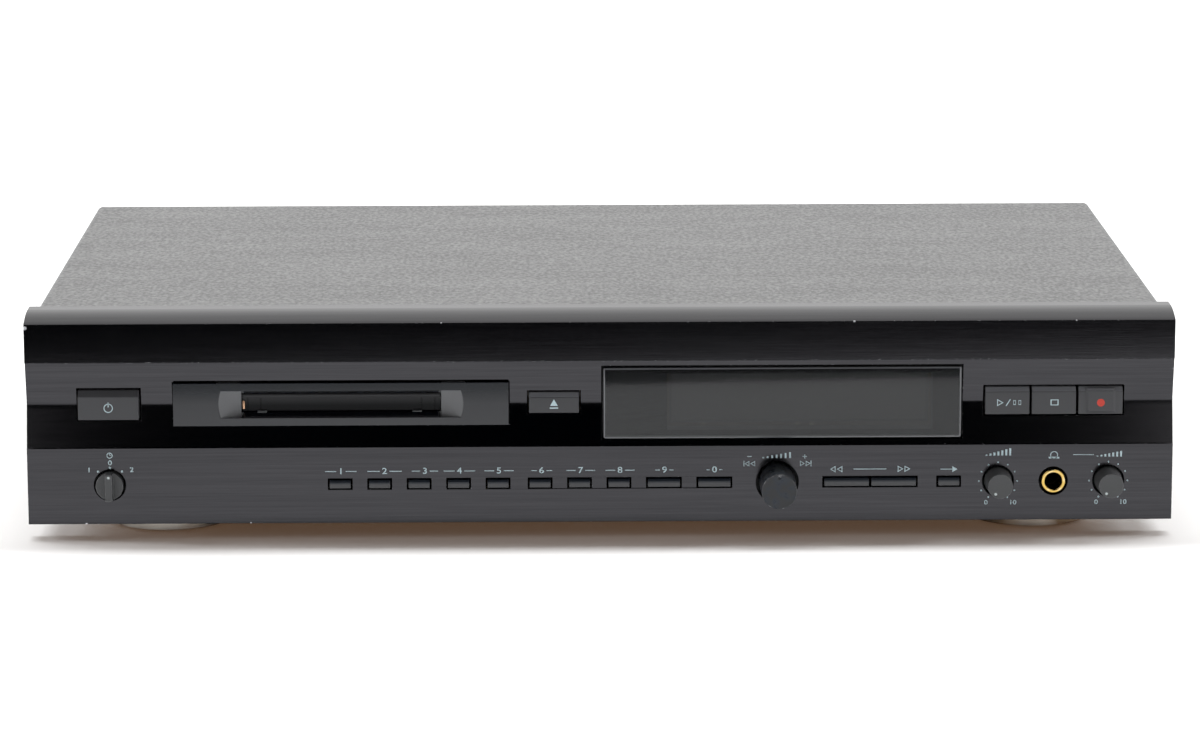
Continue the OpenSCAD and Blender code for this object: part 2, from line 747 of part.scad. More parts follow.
// A plate with a bevel on all four edges of its front.
module bevelled_plate(w, h, t, bevel) intersection() {
    linear_extrude(h, center = true) polygon([
        [-w / 2 + bevel, 0], [w / 2 - bevel, 0], [w / 2, bevel], [w / 2, t], [-w / 2, t], [-w / 2, bevel]
    ]);
    along_x(w) polygon([
        [0, -h / 2 + bevel], [0, h / 2 - bevel], [bevel, h / 2], [t, h / 2], [t, -h / 2], [bevel, -h / 2]
    ]);
}

module display_window() in_case() color("#1a1c20")
    translate([window_x, window_back, row_z]) bevelled_plate(window_w, window_h, window_t, window_bevel);

module display_tube() in_case() color("#2c3a3c") translate([tube_x, board_front - tube_d, row_z])
    bevelled_plate(tube_w, tube_h, tube_d, 0.8);

// A push key: its cap, the lip that stops it behind the frame, and its plunger.
module key(spot, face, travel, bevel) translate([spot[0], 0, spot[1]]) {
    along_x(spot[2]) polygon([
        [face, -spot[3] / 2], [face, spot[3] / 2 - bevel], [face + bevel, spot[3] / 2],
        [lip_front, spot[3] / 2], [lip_front, -spot[3] / 2]
    ]);
    block([-spot[2] / 2, lip_front, -spot[3] / 2 - key_lip],
        [spot[2] / 2, lip_front + key_lip_t, spot[3] / 2 + key_lip]);
    rod_along_y(plunger_r, lip_front + key_lip_t, switch_front - travel - key_rest_gap);
}

key_colour = "#46464a";
module deck_button(spot, travel) in_case() color(key_colour)
    key(spot, deck_key_back, travel, deck_key_bevel);
module power_button() in_case() color(key_colour)
    key(power_key, power_back, power_travel, power_bevel);
module eject_button() deck_button(eject_key, deck_key_travel);
module play_button() deck_button(deck_keys[0], deck_key_travel);
module stop_button() deck_button(deck_keys[1], deck_key_travel);
module rec_button() {
    deck_button(deck_keys[2], deck_key_travel);
    in_case() color(key_colour) translate([deck_keys[2][0], deck_key_back - rec_rise, row_z])
        bevelled_plate(deck_key_w - 2 * rec_margin, deck_key_h - rec_rise, deck_key_bevel, rec_rise);
}

module small_button(spot) in_case() color(key_colour)
    key(spot, low_face - small_key_out, small_key_travel, small_key_bevel);
module random_button() small_button(small_keys[0]);
module repeat_button() small_button(small_keys[1]);
module ab_repeat_button() small_button(small_keys[2]);
module display_button() small_button(small_keys[3]);
module scroll_button() small_button(small_keys[4]);
module title_button() small_button(small_keys[5]);
module character_button() small_button(small_keys[6]);
module delete_button() small_button(small_keys[7]);
module edit_button() small_button(wide_keys[0]);
module set_button() small_button(wide_keys[1]);
module search_back_button() small_button(search_keys[0]);
module search_forward_button() small_button(search_keys[1]);
module input_button() small_button(input_key);

// A knob: a cone that stands out of the lower band, bored from behind.
module knob(x, r, taper, out, dimple_angle) in_case() color("#3a3a3d")
    translate([x, low_face, low_row_z]) difference() {
        union() {
            rod_along_y(r, 0, knob_back - low_face);
            rotate([90, 0, 0]) cylinder(r1 = r, r2 = r - taper, h = out);
        }
        rod_along_y(shaft_r + shaft_clear, knob_back - low_face - knob_grip_d, knob_back);
        rotate([0, dimple_angle, 0])
            translate([0, 0, r - taper - 2 * dimple_r])
                rod_along_y(dimple_r, -out - over, -out + dimple_d);
    }

pointer_low = -150;
module jog_knob() knob(jog_x, jog_r, jog_taper, jog_out + low_face, 0);
module rec_level_knob() knob(rec_x, level_r, level_taper, level_out, pointer_low);
module phones_level_knob() knob(level_x, level_r, level_taper, level_out, pointer_low);
module timer_knob() {
    knob(power_x, timer_r, 0, timer_out, 0);
    in_case() color("#3a3a3d") translate([power_x, low_face, low_row_z]) difference() {
        intersection() {
            rotate([90, 0, 0]) cylinder(r = timer_r, h = timer_out + grip_rise);
            block([-grip_w / 2, -timer_out - grip_rise, -timer_r], [grip_w / 2, -timer_out, timer_r]);
        }
        translate([0, 0, timer_r - 2 * dimple_r])
            rod_along_y(dimple_r, -timer_out - grip_rise - over, -timer_out - grip_rise + dimple_d);
    }
}

// Each knob's shaft runs in the bush of its control on the front board.
shaft_end = board_front - 1;
module shaft(x) in_case() color("#a8aaac") translate([x, 0, low_row_z])
    rod_along_y(shaft_r, knob_back - knob_grip_d, shaft_end);
module timer_shaft() shaft(power_x);
module jog_shaft() shaft(jog_x);
module rec_level_shaft() shaft(rec_x);
module phones_level_shaft() shaft(level_x);

module dial_controls() in_case() color("#3c4a52")
    for (x = [power_x, jog_x, rec_x, level_x])
        translate([x, 0, low_row_z]) difference() {
            block([-control_w / 2, board_front - control_d, -control_w / 2],
                [control_w / 2, board_front, control_w / 2]);
            rod_along_y(shaft_r + shaft_clear, board_front - control_d - over, shaft_end);
        }

module phones_ring() in_case() color("#c8a24a") translate([phones_x, 0, low_row_z]) difference() {
    rod_along_y(ring_r, low_face - ring_out, frame_back);
    rod_along_y(plug_r, low_face - ring_out - over, frame_back + over);
}

module phones_socket() in_case() color("#202022") translate([phones_x, 0, low_row_z]) difference() {
    block([-socket_w / 2, frame_back, -socket_w / 2],
        [socket_w / 2, frame_back + socket_d, socket_w / 2]);
    rod_along_y(plug_r, frame_back - over, frame_back + socket_d - 3);
}

slot_cut_half = wall_out + 3;
module front_board() in_case() color("#b08a4a") difference() {
    block([-frame_half + 3, board_front, board_low], [frame_half - 3, board_back, board_high]);
    translate([slot_x, 0, row_z])
        block([-slot_cut_half, board_front - over, holder_low - holder_drop - 2],
            [slot_cut_half, board_back + over, panel_h]);
    translate([phones_x, 0, low_row_z])
        block([-socket_w / 2 - sheet_gap, board_front - over, -panel_h],
            [socket_w / 2 + sheet_gap, board_back + over, socket_w / 2 + sheet_gap]);
}

module key_switches() in_case() color("#b9bab4")
    for (k = all_keys)
        translate([k[0], 0, k[1]])
            block([-switch_w / 2, switch_front, -switch_w / 2],
                [switch_w / 2, board_front, switch_w / 2]);

// The cover's section: a rounded box, open below.
module box_outline(half, top, r) {
    translate([-half, floor_rise]) square([2 * half, top - r - floor_rise]);
    translate([-half + r, floor_rise]) square([2 * (half - r), top - floor_rise]);
    for (s = [-1, 1])
        translate([s * (half - r), top - r]) circle(r = r);
}

module across_y(y0, y1) translate([0, y1, 0]) rotate([90, 0, 0]) linear_extrude(y1 - y0) children();

module cover_screw_spots(r, out, into)
    for (s = [-1, 1])
        for (y = cover_screw_ys)
            translate([s * cover_half, y, cover_screw_z])
                mirror([s < 0 ? 1 : 0, 0, 0]) rod_along_x(r, -into, out);

module rear_screw_spots(r, y0, y1)
    for (x = rear_screw_xs)
        translate([x, 0, rear_screw_z]) rod_along_y(r, y0, y1);

module tab_screw_spots(r, y0, y1)
    for (x = tab_screw_xs)
        translate([x, 0, tab_screw_z]) rod_along_y(r, y0, y1);

module top_cover() in_case() color("#4a4c50") difference() {
    union() {
        across_y(cover_front, body_d) difference() {
            box_outline(cover_half, cover_top, cover_r);
            translate([0, -over])
                box_outline(cover_half - cover_t, cover_top - cover_t + over, cover_r - cover_t);
        }
        for (side = [-1, 1])
            translate([side * (cover_half - cover_t / 2), 0, 0])
                block([-cover_t / 2, panel_t + sheet_gap, floor_rise],
                    [cover_t / 2, cover_front + over, lip_top - lip_t - sheet_gap]);
        across_y(body_d - cover_t, body_d) intersection() {
            box_outline(cover_half, cover_top, cover_r);
            translate([-cover_half, cover_top - cover_rear_h]) square([2 * cover_half, cover_rear_h]);
        }
    }
    cover_screw_spots(screw_hole_r, over, cover_t + over);
    rear_screw_spots(screw_hole_r, body_d - cover_t - over, body_d + over);
}

module chassis() in_case() color("#9a9c9e") difference() {
    union() {
        block([-chassis_half, frame_back, floor_rise], [chassis_half, rear_in, floor_top]);
        for (s = [-1, 1])
            translate([s * (chassis_half - sheet_t / 2), 0, 0])
                block([-sheet_t / 2, ledge_back + 2, floor_top],
                    [sheet_t / 2, rear_in - 2, floor_top + side_h]);
        for (x = tab_screw_xs)
            block([x - tab_w / 2, rear_in - sheet_t, floor_top],
                [x + tab_w / 2, rear_in, floor_top + tab_h]);
        for (p = board_screws)
            translate([p[0], p[1], floor_top]) cylinder(r = post_r, h = main_board_rise);
    }
    cover_screw_spots(screw_hole_r, over, cover_t + sheet_gap + sheet_t + over);
    tab_screw_spots(screw_hole_r, rear_in - sheet_t - over, rear_in + over);
    for (p = board_screws)
        translate([p[0], p[1], floor_rise - over]) cylinder(r = screw_hole_r, h = lift + panel_h);
    for (x = foot_xs)
        for (y = foot_ys)
            translate([x, y, 0]) cylinder(r = screw_hole_r, h = floor_top + over);
    for (s = [-1, 1])
        for (y = post_ys)
            translate([slot_x + s * post_x, y, 0]) cylinder(r = screw_hole_r, h = floor_top + over);
}

module rear_panel() in_case() color("#8c8e90") difference() {
    across_y(rear_in, rear_out) box_outline(chassis_half, inside_top, cover_r);
    rear_screw_spots(screw_hole_r, rear_in - over, rear_out + over);
    tab_screw_spots(screw_hole_r, rear_in - over, rear_out + over);
    for (j = jack_spots)
        translate([j[0], 0, j[1]])
            rod_along_y(jack_r + jack_collar + sheet_gap, rear_in - over, rear_out + over);
    for (p = optical_spots)
        translate([p[0], 0, p[1]])
            block([-optical_half - sheet_gap, rear_in - over, -optical_half - sheet_gap],
                [optical_half + sheet_gap, rear_out + over, optical_half + sheet_gap]);
    translate([inlet_x, 0, inlet_z]) inlet_block(sheet_gap, rear_in - over, rear_out + over);
}

module foot_places()
    for (x = foot_xs)
        for (y = foot_ys)
            translate([x, y, 0]) children();

module feet() in_case() color("#a08a6a") foot_places() difference() {
    translate([0, 0, foot_low]) cylinder(r = foot_r, h = floor_rise - foot_low);
    translate([0, 0, foot_low - over]) cylinder(r = pad_r + sheet_gap, h = recess_low - foot_low + over);
    translate([0, 0, foot_low]) cylinder(r = screw_head_r + screw_clear, h = floor_rise - 3 - foot_low);
    cylinder(r = screw_hole_r, h = floor_rise + over);
}

module foot_pads() in_case() color("#18181a") foot_places()
    translate([0, 0, -lift]) cylinder(r = pad_r, h = pad_t);

// Screws: each is a head and a shank along its own +Z, the head above the seat.
module screw(length) {
    cylinder(r = screw_head_r, h = screw_head_h);
    translate([0, 0, -length]) cylinder(r = screw_shank_r, h = length);
}

module screws() in_case() color("#2a2a2c") {
    cover_screw_l = cover_t + sheet_gap + sheet_t + 2;
    for (s = [-1, 1])
        for (y = cover_screw_ys)
            translate([s * cover_half, y, cover_screw_z]) rotate([0, s * 90, 0]) screw(cover_screw_l);
    for (x = rear_screw_xs)
        translate([x, body_d, rear_screw_z]) rotate([-90, 0, 0]) screw(cover_screw_l);
    for (x = tab_screw_xs)
        translate([x, rear_out, tab_screw_z]) rotate([-90, 0, 0]) screw(2 * sheet_t + 2);
    for (p = board_screws)
        translate([p[0], p[1], main_board_top]) screw(main_board_rise);
    foot_places() translate([0, 0, floor_rise - 3]) rotate([180, 0, 0]) screw(3 + sheet_t + 2);
    for (s = [-1, 1])
        for (y = post_ys)
            translate([slot_x + s * post_x, y, floor_rise]) rotate([180, 0, 0])
                screw(sheet_t + post_hole_d - 1);
}

// The sockets on the rear.
module line_jacks() in_case() color("#c9c5b8")
    for (j = jack_spots)
        translate([j[0], 0, j[1]]) difference() {
            union() {
                rod_along_y(jack_r + jack_collar, rear_in, body_d);
                rod_along_y(jack_r, rear_in, jack_end);
            }
            rod_along_y(jack_r - jack_wall, rear_in - over, jack_end + over);
        }

jack_core_r = jack_r - jack_wall - 0.05;
jack_core_end = jack_end - 0.4;
jack_hole_back = rear_in - 4;
module jack_block(spot, low) difference() {
    union() {
        block([spot[0] - jack_block_half, rear_in - jack_block_d, low],
            [spot[0] + jack_block_half, rear_in, spot[1] + jack_block_half]);
        translate([spot[0], 0, spot[1]]) rod_along_y(jack_core_r, rear_in, jack_core_end);
    }
    translate([spot[0], 0, spot[1]]) rod_along_y(jack_hole_r, jack_hole_back, jack_end + over);
}

module jack_blocks() in_case() color("#26282a")
    for (j = jack_spots)
        jack_block(j, j[1] == jack_z ? main_board_top : j[1] - jack_block_half);

module optical_ports() in_case() color("#1c1d20")
    for (p = optical_spots)
        translate([p[0], 0, p[1]]) difference() {
            block([-optical_half, rear_out - optical_d - 3, -optical_half],
                [optical_half, body_d + optical_out, optical_half]);
            block([-optical_w / 2, body_d + optical_out - optical_d, -optical_w / 2],
                [optical_w / 2, body_d + optical_out + over, optical_w / 2]);
        }

// The mains inlet: two round-ended walls around a pair of pins.
module inlet_block(grow, y0, y1)
    block([-inlet_w / 2 - inlet_wall - grow, y0, -inlet_h / 2 - inlet_wall - grow],
        [inlet_w / 2 + inlet_wall + grow, y1, inlet_h / 2 + inlet_wall + grow]);

module mains_inlet() in_case() color("#1a1a1c") translate([inlet_x, 0, inlet_z]) {
    mouth = body_d + optical_out;
    difference() {
        union() {
            inlet_block(0, mouth - inlet_d - 3, mouth);
            inlet_block(3, rear_in - 2, rear_in);
        }
        for (s = [-1, 1])
            translate([s * (inlet_w - inlet_h) / 2, 0, 0])
                rod_along_y(inlet_h / 2, mouth - inlet_d, mouth + over);
        block([-(inlet_w - inlet_h) / 2, mouth - inlet_d, -inlet_h / 2],
            [(inlet_w - inlet_h) / 2, mouth + over, inlet_h / 2]);
    }
    for (s = [-1, 1])
        translate([s * inlet_pitch / 2, 0, 0]) rod_along_y(inlet_pin_r, mouth - inlet_d - 1, mouth - 2);
}

// The main board and what stands on it.
module main_board() in_case() color("#2f6b46") difference() {
    block([main_board_x0, main_board_y0, main_board_low], [main_board_x1, main_board_y1, main_board_top]);
    for (p = board_screws)
        translate([p[0], p[1], main_board_low - over]) cylinder(r = screw_hole_r, h = board_t + 2 * over);
}

// Each capacitor as [distance from the board's left edge, from its front, radius, height].
capacitor_spots = [
    [22, 30, 8, 32], [42, 30, 8, 32], [22, 52, 5, 16], [36, 52, 5, 16], [50, 52, 5, 16],
    [120, 24, 4, 11], [132, 24, 4, 11], [144, 24, 4, 11], [156, 24, 4, 11], [22, 70, 6.5, 24]
];
module capacitors() in_case() color("#24365e")
    for (c = capacitor_spots)
        translate([main_board_x0 + c[0], main_board_y0 + c[1], main_board_top])
            cylinder(r = c[2], h = c[3]);

// Each chip as [distance from the board's left edge, from its front, width, depth].
chip_spots = [
    [80, 36, 20, 20], [108, 48, 14, 14], [80, 64, 10, 18], [140, 50, 24, 10], [175, 50, 12, 12]
];
chip_h = 2.4;
module chips() in_case() color("#1b1b1d")
    for (c = chip_spots)
        translate([main_board_x0 + c[0], main_board_y0 + c[1], main_board_top])
            block([-c[2] / 2, -c[3] / 2, 0], [c[2] / 2, c[3] / 2, chip_h]);

// The transformer: a core with two windows, and a coil around its middle leg.
module transformer_core() in_case() color("#6a6c6e") translate([core_x, core_y, core_z]) difference() {
    block([-core_w / 2, -core_d / 2, -core_h / 2], [core_w / 2, core_d / 2, core_h / 2]);
    for (s = [-1, 1])
        translate([s * (core_leg_w / 2 + core_window / 2), 0, 0])
            block([-core_window / 2, -core_d, -core_h / 2 + core_yoke],
                [core_window / 2, core_d, core_h / 2 - core_yoke]);
}

core_window = core_w / 2 - core_side - core_leg_w / 2;
coil_gap = 0.3;
coil_out = 8;
module transformer_coil() in_case() color("#c7a12e") translate([core_x, core_y, core_z]) difference() {
    coil_half = core_leg_w / 2 + core_window - coil_gap;
    coil_high = core_h / 2 - core_yoke - coil_gap;
    block([-coil_half, -core_d / 2 - coil_out, -coil_high],
        [coil_half, core_d / 2 + coil_out, coil_high]);
    block([-core_leg_w / 2 - coil_gap, -core_d / 2 - coil_gap, -core_h],
        [core_leg_w / 2 + coil_gap, core_d / 2 + coil_gap, core_h]);
}

// The disc mechanism, measured sideways and upwards from the middle of the slot.
module in_mech() in_case() translate([slot_x, 0, row_z]) children();

aperture_half = pickup_w / 2 + 1.5;
aperture_back = pickup_y + pickup_l + pickup_travel + 3;
rod_block_out = lead_x + screw_r + 1.8;
module mech_base() in_mech() color("#8f9294") difference() {
    union() {
        block([-wall_out, mech_front, plate_low], [wall_out, mech_back, plate_top]);
        for (s = [-1, 1]) {
            translate([s * (wall_in + mech_t / 2), 0, 0])
                block([-mech_t / 2, mech_front, plate_top], [mech_t / 2, boss_back, holder_high + 1]);
            for (y = post_ys)
                translate([s * post_x, y, 0])
                    block([-post_w / 2, -post_w / 2, floor_z], [post_w / 2, post_w / 2, plate_low]);
            for (y = [boss_front, boss_back])
                translate([s * rod_x, y, 0])
                    block([-rod_r - 2, 0, rod_z - rod_r - 1.5], [rod_r + 2, boss_l, plate_low]);
            translate([s * ear_x, arm_y, 0])
                block([-mech_t / 2, -4, plate_top], [mech_t / 2, 4, arm_z + 3]);
        }
        for (y = [boss_front, boss_back])
            block([-rod_block_out, y, rod_z - rod_r - 1.5], [-rod_x, y + boss_l, plate_low]);
    }
    translate([0, spindle_y, plate_low - over]) cylinder(r = motor_neck_r + 0.3, h = mech_t + 2 * over);
    block([-aperture_half, pickup_y - 0.5, plate_low - over],
        [aperture_half, aperture_back, plate_top + over]);
    for (s = [-1, 1]) {
        translate([s * rod_x, 0, rod_z])
            rod_along_y(rod_r + 0.02, boss_front - over, boss_back + boss_l + over);
        for (y = guide_ys)
            translate([s * (wall_in + mech_t / 2), y, guide_z])
                block([-mech_t, -guide_slot, -holder_drop - guide_slot], [mech_t, guide_slot, guide_slot]);
        for (y = post_ys)
            translate([s * post_x, y, floor_z - over])
                cylinder(r = screw_shank_r + 0.05, h = post_hole_d + over);
    }
    translate([-lead_x, 0, rod_z])
        rod_along_y(screw_r + shaft_clear, boss_front - over, boss_back + boss_l + over);
    translate([-lead_x, gear_y, 0])
        block([-gear_r - 0.5, -0.3, plate_low - over], [gear_r + 0.5, gear_t + 0.5, plate_top + over]);
    translate([0, arm_y, arm_z]) rod_along_x(arm_pin_r + shaft_clear, -ear_x - mech_t, ear_x + mech_t);
}

guide_z = (bay_low + bay_high) / 2;
guide_slot = guide_pin_r + pin_clear;
holder_ledge = 10;
holder_bridge = 14;
module cartridge_holder() in_mech() color("#b4b6b8") {
    difference() {
        block([-holder_half, holder_front, holder_low], [holder_half, holder_back, holder_high]);
        block([-holder_in, holder_front - over, bay_low], [holder_in, holder_stop, bay_high]);
        block([-holder_in + holder_ledge, holder_front + holder_bridge, holder_low - over],
            [holder_in - holder_ledge, holder_stop, bay_low + over]);
        block([-arm_w / 2 - 3, spindle_y - 10, bay_high - over],
            [arm_w / 2 + 3, holder_stop, holder_high + over]);
    }
    for (s = [-1, 1])
        for (y = guide_ys)
            translate([0, y, guide_z])
                mirror([s < 0 ? 1 : 0, 0, 0]) rod_along_x(guide_pin_r, holder_half, wall_out + 0.5);
}

motor_neck_r = 4;
module turntable() in_mech() color("#d8d8da") translate([0, spindle_y, 0]) {
    translate([0, 0, turntable_low]) cylinder(r = turntable_r, h = turntable_top - turntable_low);
    translate([0, 0, turntable_top]) cylinder(r = hub_r, h = 1.6);
    translate([0, 0, pickup_low + 1.2]) cylinder(r = spindle_r, h = turntable_low - pickup_low - 1.2);
}

module spindle_motor() in_mech() color("#7c7e82") translate([0, spindle_y, 0]) difference() {
    union() {
        translate([0, 0, pickup_low]) cylinder(r = motor_r, h = motor_h);
        translate([0, 0, plate_low]) cylinder(r = motor_neck_r, h = turntable_low - 0.4 - plate_low);
    }
    translate([0, 0, pickup_low + 1]) cylinder(r = spindle_r + shaft_clear, h = panel_h);
}

lens_r = 2.6;
arm_top = plate_low - 0.4;
module pickup_sled() in_mech() color("#3a3c40") {
    middle = pickup_y + pickup_l / 2;
    block([-pickup_w / 2, pickup_y, pickup_low], [pickup_w / 2, pickup_y + pickup_l, turntable_low]);
    translate([0, middle, turntable_low]) cylinder(r = lens_r, h = 1);
    difference() {
        block([-rod_x - rod_r - 2, pickup_y + 0.3, pickup_low],
            [-pickup_w / 2, pickup_y + pickup_l - 0.3, arm_top]);
        translate([-rod_x, 0, rod_z])
            rod_along_y(rod_r + shaft_clear, pickup_y - over, pickup_y + pickup_l + over);
    }
    block([-lead_x + screw_r + 0.3, middle - 2, rod_z - 1], [-rod_x - rod_r - 2, middle + 2, rod_z + 1]);
    difference() {
        block([pickup_w / 2, pickup_y + 0.3, pickup_low],
            [rod_x + rod_r + 1, pickup_y + pickup_l - 0.3, arm_top]);
        block([rod_x - rod_r - shaft_clear, pickup_y - over, rod_z - rod_r - shaft_clear],
            [rod_x + rod_r + 2, pickup_y + pickup_l + over, rod_z + rod_r + shaft_clear]);
    }
}

module guide_rods() in_mech() color("#c4c6c8")
    for (s = [-1, 1])
        translate([s * rod_x, 0, rod_z]) rod_along_y(rod_r, boss_front, boss_back + boss_l);

gear_r = 5;
gear_teeth = 20;
gear_t = 2;
gear_y = boss_back + boss_l + 0.5;
module lead_screw() in_mech() color("#b9a06a") translate([-lead_x, 0, rod_z]) {
    rod_along_y(screw_r, boss_front, gear_y + gear_t);
    translate([0, gear_y, 0]) rotate([-90, 0, 0]) difference() {
        cylinder(r = gear_r, h = gear_t);
        for (i = [0 : gear_teeth - 1])
            rotate([0, 0, i * 360 / gear_teeth])
                translate([gear_r, 0, -over]) cylinder(r = 0.5, h = gear_t + 2 * over);
    }
}

arm_rest = holder_high + 0.3;
module head_arm() in_mech() color("#caccce") {
    translate([0, arm_y, arm_z]) {
        rod_along_x(arm_barrel_r, -ear_x + mech_t / 2 + 0.3, ear_x - mech_t / 2 - 0.3);
        rod_along_x(arm_pin_r, -ear_x - mech_t / 2 - 0.3, ear_x + mech_t / 2 + 0.3);
    }
    block([-arm_w / 2, arm_y - arm_l, arm_z - arm_barrel_r + 0.2], [arm_w / 2, arm_y, arm_z - 0.4]);
    block([-3, arm_y - arm_l, arm_rest], [3, arm_y - arm_l + 6, arm_z - arm_barrel_r + 0.2]);
}

front_panel();
front_frame();
slot_bezel();
slot_door();
display_window();
display_tube();
power_button();
eject_button();
play_button();
stop_button();
rec_button();
random_button();
repeat_button();
ab_repeat_button();
display_button();
scroll_button();
title_button();
character_button();
delete_button();
edit_button();
set_button();
search_back_button();
search_forward_button();
input_button();
timer_knob();
jog_knob();
rec_level_knob();
phones_level_knob();
timer_shaft();
jog_shaft();
rec_level_shaft();
phones_level_shaft();
phones_ring();
phones_socket();
front_board();
key_switches();
dial_controls();
top_cover();
chassis();
rear_panel();
feet();
foot_pads();
screws();
line_jacks();
jack_blocks();
optical_ports();
mains_inlet();
main_board();
capacitors();
chips();
transformer_core();
transformer_coil();
mech_base();
cartridge_holder();
turntable();
spindle_motor();
pickup_sled();
guide_rods();
lead_screw();
head_arm();
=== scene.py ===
import json
from math import cos, pi, radians, sin

import bmesh
import bpy
from mathutils import Matrix, Vector

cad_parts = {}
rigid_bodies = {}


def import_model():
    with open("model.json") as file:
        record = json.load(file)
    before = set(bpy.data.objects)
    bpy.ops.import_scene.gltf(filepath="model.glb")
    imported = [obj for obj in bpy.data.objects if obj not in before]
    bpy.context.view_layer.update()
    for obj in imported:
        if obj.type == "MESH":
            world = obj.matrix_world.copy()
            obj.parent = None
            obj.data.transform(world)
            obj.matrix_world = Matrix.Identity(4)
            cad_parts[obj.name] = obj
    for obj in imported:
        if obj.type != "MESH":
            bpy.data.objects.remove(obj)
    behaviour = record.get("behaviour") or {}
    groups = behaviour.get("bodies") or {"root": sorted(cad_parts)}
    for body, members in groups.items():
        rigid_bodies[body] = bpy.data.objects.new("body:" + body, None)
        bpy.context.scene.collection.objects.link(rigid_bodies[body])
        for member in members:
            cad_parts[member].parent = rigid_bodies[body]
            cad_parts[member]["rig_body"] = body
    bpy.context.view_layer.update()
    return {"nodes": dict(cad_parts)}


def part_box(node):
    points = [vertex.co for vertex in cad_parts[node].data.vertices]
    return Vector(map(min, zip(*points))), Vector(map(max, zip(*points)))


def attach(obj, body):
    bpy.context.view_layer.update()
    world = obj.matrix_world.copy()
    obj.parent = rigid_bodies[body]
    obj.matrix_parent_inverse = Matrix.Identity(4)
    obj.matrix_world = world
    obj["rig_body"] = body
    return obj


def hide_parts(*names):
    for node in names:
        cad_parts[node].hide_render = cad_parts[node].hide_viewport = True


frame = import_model()
scene = bpy.context.scene
scene.view_settings.view_transform = "Standard"

# ---------------------------------------------------------------- the camera
# The deck is seen from in front, a little above and from almost two metres away,
# through a long lens that keeps its sides nearly parallel.
stand = (-0.0178, -1.8268, 0.4031)
yaw, pitch, roll = radians(0.596), radians(11.226), radians(-0.146)
ahead = Vector((sin(yaw) * cos(pitch), cos(yaw) * cos(pitch), -sin(pitch)))
right = Vector((cos(yaw), -sin(yaw), 0))
above = right.cross(ahead)
across = cos(roll) * right + sin(roll) * above
upward = cos(roll) * above - sin(roll) * right
lens = bpy.data.cameras.new("camera")
lens.lens = 137.5
lens.sensor_width = 36
lens.clip_end = 60
camera = bpy.data.objects.new("camera", lens)
facing = Matrix((across, upward, -ahead)).transposed().to_4x4()
camera.matrix_world = Matrix.Translation(stand) @ facing
scene.collection.objects.link(camera)
scene.camera = camera


# ------------------------------------------------- the table and the soft light
# The deck stands on a plain white table under an even dome of light. In front of
# the table the room is dark, and the shiny front and the cover's lip mirror it.
class Signal:
    """A value that changes over a surface. Python's own signs join it to others."""

    def __init__(self, finish, socket):
        self.finish, self.socket = finish, socket

    def maths(self, operation, other, swapped=False):
        pair = (other, self) if swapped else (self, other)
        return self.finish.add("Math", {"operation": operation}, dict(enumerate(pair)))

    def __add__(self, other):
        return self.maths("ADD", other)

    def __sub__(self, other):
        return self.maths("SUBTRACT", other)

    def __rsub__(self, other):
        return self.maths("SUBTRACT", other, True)

    def __mul__(self, other):
        return self.maths("MULTIPLY", other)

    __radd__, __rmul__ = __add__, __mul__


